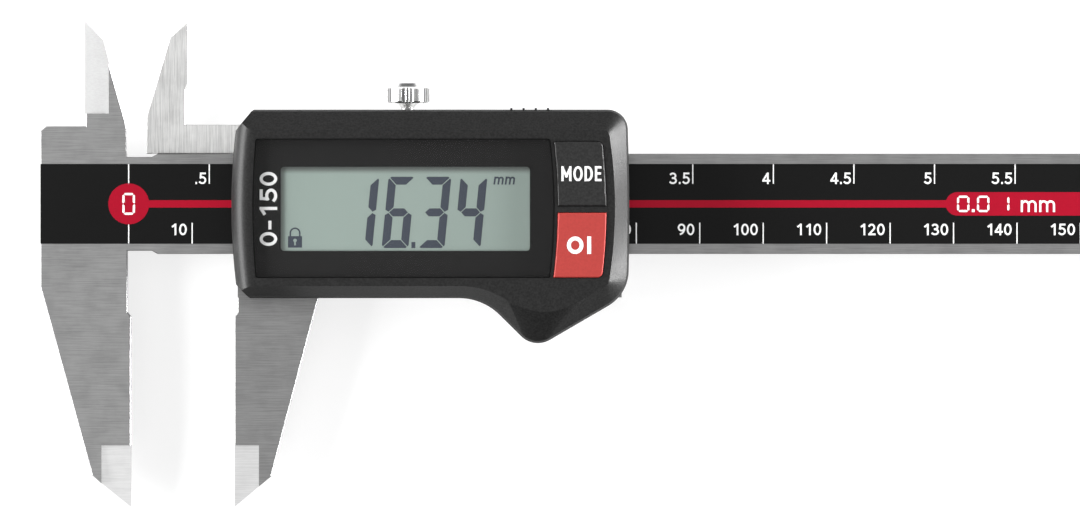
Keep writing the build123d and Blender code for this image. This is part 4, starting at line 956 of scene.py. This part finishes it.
print("digits:", digits, "each", DIGIT_WIDTH, "mm wide")

# %% The unit
SMALL_HEIGHT = 1.25
SMALL_PEN = 0.27
SMALL_LENGTH = 3.3
SMALL_SLOPE = 0.14
SMALL_FROM_CORNER = (5.75, 2.8)
unit = word("mm", SMALL_HEIGHT, SMALL_PEN, SMALL_LENGTH)[0]
leaning_unit = [[(x + y * SMALL_SLOPE, y) for x, y in outline] for outline in unit]
unit_x = window_high.x - SMALL_FROM_CORNER[0]
unit_y = window_high.y - SMALL_FROM_CORNER[1]
display_outlines += moved(leaning_unit, unit_x, unit_y)
print("outlines so far:", len(display_outlines))

# %% The padlock
LOCK_PLACE = (2.26, 0.52)
LOCK_BODY = (2.2, 1.8)
SHACKLE_RADIUS = 0.74
SHACKLE_FOOT, SHACKLE_TURN = 1.7, 2.3
SHACKLE_PEN = 0.24
KEYHOLE_RADIUS, KEYHOLE_HEIGHT = 0.28, 1.12
KEYHOLE_SLOT = (0.13, 0.35, 1.1)
lock_x = window_low.x + LOCK_PLACE[0]
lock_y = window_low.y + LOCK_PLACE[1]
padlock = [bar(-LOCK_BODY[0] / 2, 0, LOCK_BODY[0] / 2, LOCK_BODY[1])]
shackle = [(SHACKLE_RADIUS, SHACKLE_FOOT)]
shackle += oval(0, SHACKLE_TURN, SHACKLE_RADIUS, SHACKLE_RADIUS, 0, 180)
shackle += [(-SHACKLE_RADIUS, SHACKLE_FOOT)]
padlock += stroke(shackle, SHACKLE_PEN)
display_outlines += moved(padlock, lock_x, lock_y)
slot_half, slot_foot, slot_top = KEYHOLE_SLOT
keyhole = [
    oval(0, KEYHOLE_HEIGHT, KEYHOLE_RADIUS, KEYHOLE_RADIUS),
    bar(-slot_half, slot_foot, slot_half, slot_top),
]
keyhole = moved(keyhole, lock_x, lock_y)
layer(
    "display_digits", display_outlines, glass_high.z, "slider", crystal_ink, keyhole
)

# %% [markdown]
# ## Words on the window and the buttons
# The window's margin carries the tool's range, read from below upwards. The buttons carry
# their function in white: a word on the upper one, and the ring and bar of an on-off key on
# the lower one. Each print rides on its own button, so it moves down with it.

# %% Range on the window
RANGE_HEIGHT = 2.75
RANGE_PEN = 0.48
RANGE_LENGTH = 11.6
RANGE_PLACE = (3.85, 0.8)
range_outlines = moved(
    word("0-150", RANGE_HEIGHT, RANGE_PEN, RANGE_LENGTH)[0],
    lens_low.x + RANGE_PLACE[0],
    window_low.y + RANGE_PLACE[1],
    90,
)
layer("range_print", range_outlines, mask_high.z, "slider", white_ink)

# %% The word on the mode button
MODE_HEIGHT = 2.35
MODE_LENGTH = 6.3
MODE_PEN = 0.36
MODE_ASIDE = 0.2
mode_outlines = word("MODE", MODE_HEIGHT, MODE_PEN, MODE_LENGTH)[0]
mode_x = (mode_low.x + mode_high.x) / 2 + MODE_ASIDE - MODE_LENGTH / 2
mode_y = (mode_low.y + mode_high.y) / 2 - MODE_HEIGHT / 2
layer(
    "mode_print", moved(mode_outlines, mode_x, mode_y), mode_high.z, "mode_button", white_ink,
)

# %% The ring and bar on the power button
RING_ASIDE = -0.75
RING_RADII = (0.99, 1.06)
RING_PEN = 0.62
BAR_FROM, BAR_TO = 1.88, 2.50
BAR_HALF = 1.37
ring_x = (power_low.x + power_high.x) / 2 + RING_ASIDE
ring_y = (power_low.y + power_high.y) / 2
ring_and_bar = stroke(oval(0, 0, *RING_RADII), RING_PEN, True)
ring_and_bar.append(bar(BAR_FROM, -BAR_HALF, BAR_TO, BAR_HALF))
power_outlines = moved(ring_and_bar, ring_x, ring_y)
layer("power_print", power_outlines, power_high.z, "power_button", white_ink)

# %% [markdown]
# ## Table, light and camera
# The tool lies on a pale table under a large overhead softbox, which is what flat steel
# mirrors towards the eye. The table glows a little by itself, so that it is white without
# being so pale that it floods the tool's sides. Two wide, low panels stand beyond the tool's
# ends: they make the bowed ends of the housing shine while its long bevels stay dark. The sky
# is dim, so the plastic stays deep. The camera looks straight down with a long lens, which
# keeps the scale free of perspective, and the lights themselves are hidden from it.

# %% Table
TABLE_SIZE = 6.0
TABLE_MIDDLE = 0.1
TABLE_GAP = 0.0001
TABLE_GLOW = 0.72
table_finish = Finish(
    "pale_table", roughness=0.9, emission_color=grey(1.0), emission_strength=TABLE_GLOW
)
cloudy = table_finish.noise(table_finish.place(), 0.01, 2.0)
table_finish.feed("Base Color", table_finish.mix(cloudy, grey(0.34), grey(0.37)))
table_mesh = bpy.data.meshes.new("table")
half = TABLE_SIZE / 2
corners = [(-half, -half, 0), (half, -half, 0), (half, half, 0), (-half, half, 0)]
table_mesh.from_pydata(corners, [], [(0, 1, 2, 3)])
table_mesh.materials.append(table_finish.material)
table = in_scene("table", table_mesh)
table.location = (TABLE_MIDDLE, 0, cad_box[0].z - TABLE_GAP)
print("table top at z", round(table.location.z / MM, 2), "mm")

# %% Light
SKY = 0.14
TOOL_MIDDLE = Vector((0.065, -0.01, 0.005))
world = bpy.data.worlds.new("studio")
world.use_nodes = True
backdrop = world.node_tree.nodes["Background"]
backdrop.inputs["Color"].default_value = (1, 1, 1, 1)
backdrop.inputs["Strength"].default_value = SKY
bpy.context.scene.world = world


def soft_panel(name, place, size, radiance):
    """A soft rectangular light aimed at the tool. size is its width and its height."""
    light = bpy.data.lights.new(name, "AREA")
    light.shape = "RECTANGLE"
    light.size, light.size_y = size
    light.energy = radiance * math.pi * size[0] * size[1]
    lamp = in_scene(name, light)
    lamp.location = place
    lamp.rotation_euler = (TOOL_MIDDLE - Vector(place)).to_track_quat("-Z", "Y").to_euler()
    lamp.visible_camera = False


soft_panel("overhead_softbox", (0.065, 0.0, 1.5), (2.4, 2.4), 0.63)
soft_panel("right_panel", (0.565, 0.08, 0.065), (0.5, 0.12), 54.0)
soft_panel("left_panel", (-0.435, 0.05, 0.17), (0.55, 0.22), 20.0)

# %% Camera
VIEW_WIDTH = 0.17021
LEFT_MARGIN = 0.00637
CAMERA_HEIGHT = 2.4
MIDDLE_DROP = 0.00009
SENSOR = 36.0
lens_camera = bpy.data.cameras.new("camera")
lens_camera.sensor_width = SENSOR
lens_camera.lens = SENSOR * CAMERA_HEIGHT / VIEW_WIDTH
lens_camera.clip_start = 0.01
lens_camera.clip_end = 20.0
camera = in_scene("camera", lens_camera)
camera.location = (
    beam_low.x * MM - LEFT_MARGIN + VIEW_WIDTH / 2,
    (cad_box[0].y + cad_box[1].y) / 2 - MIDDLE_DROP,
    film_high.z * MM + CAMERA_HEIGHT,
)
bpy.context.scene.camera = camera
bpy.context.scene.view_settings.view_transform = "Standard"
print("camera at", [round(c, 4) for c in camera.location])
print("lens", round(lens_camera.lens, 1), "mm")
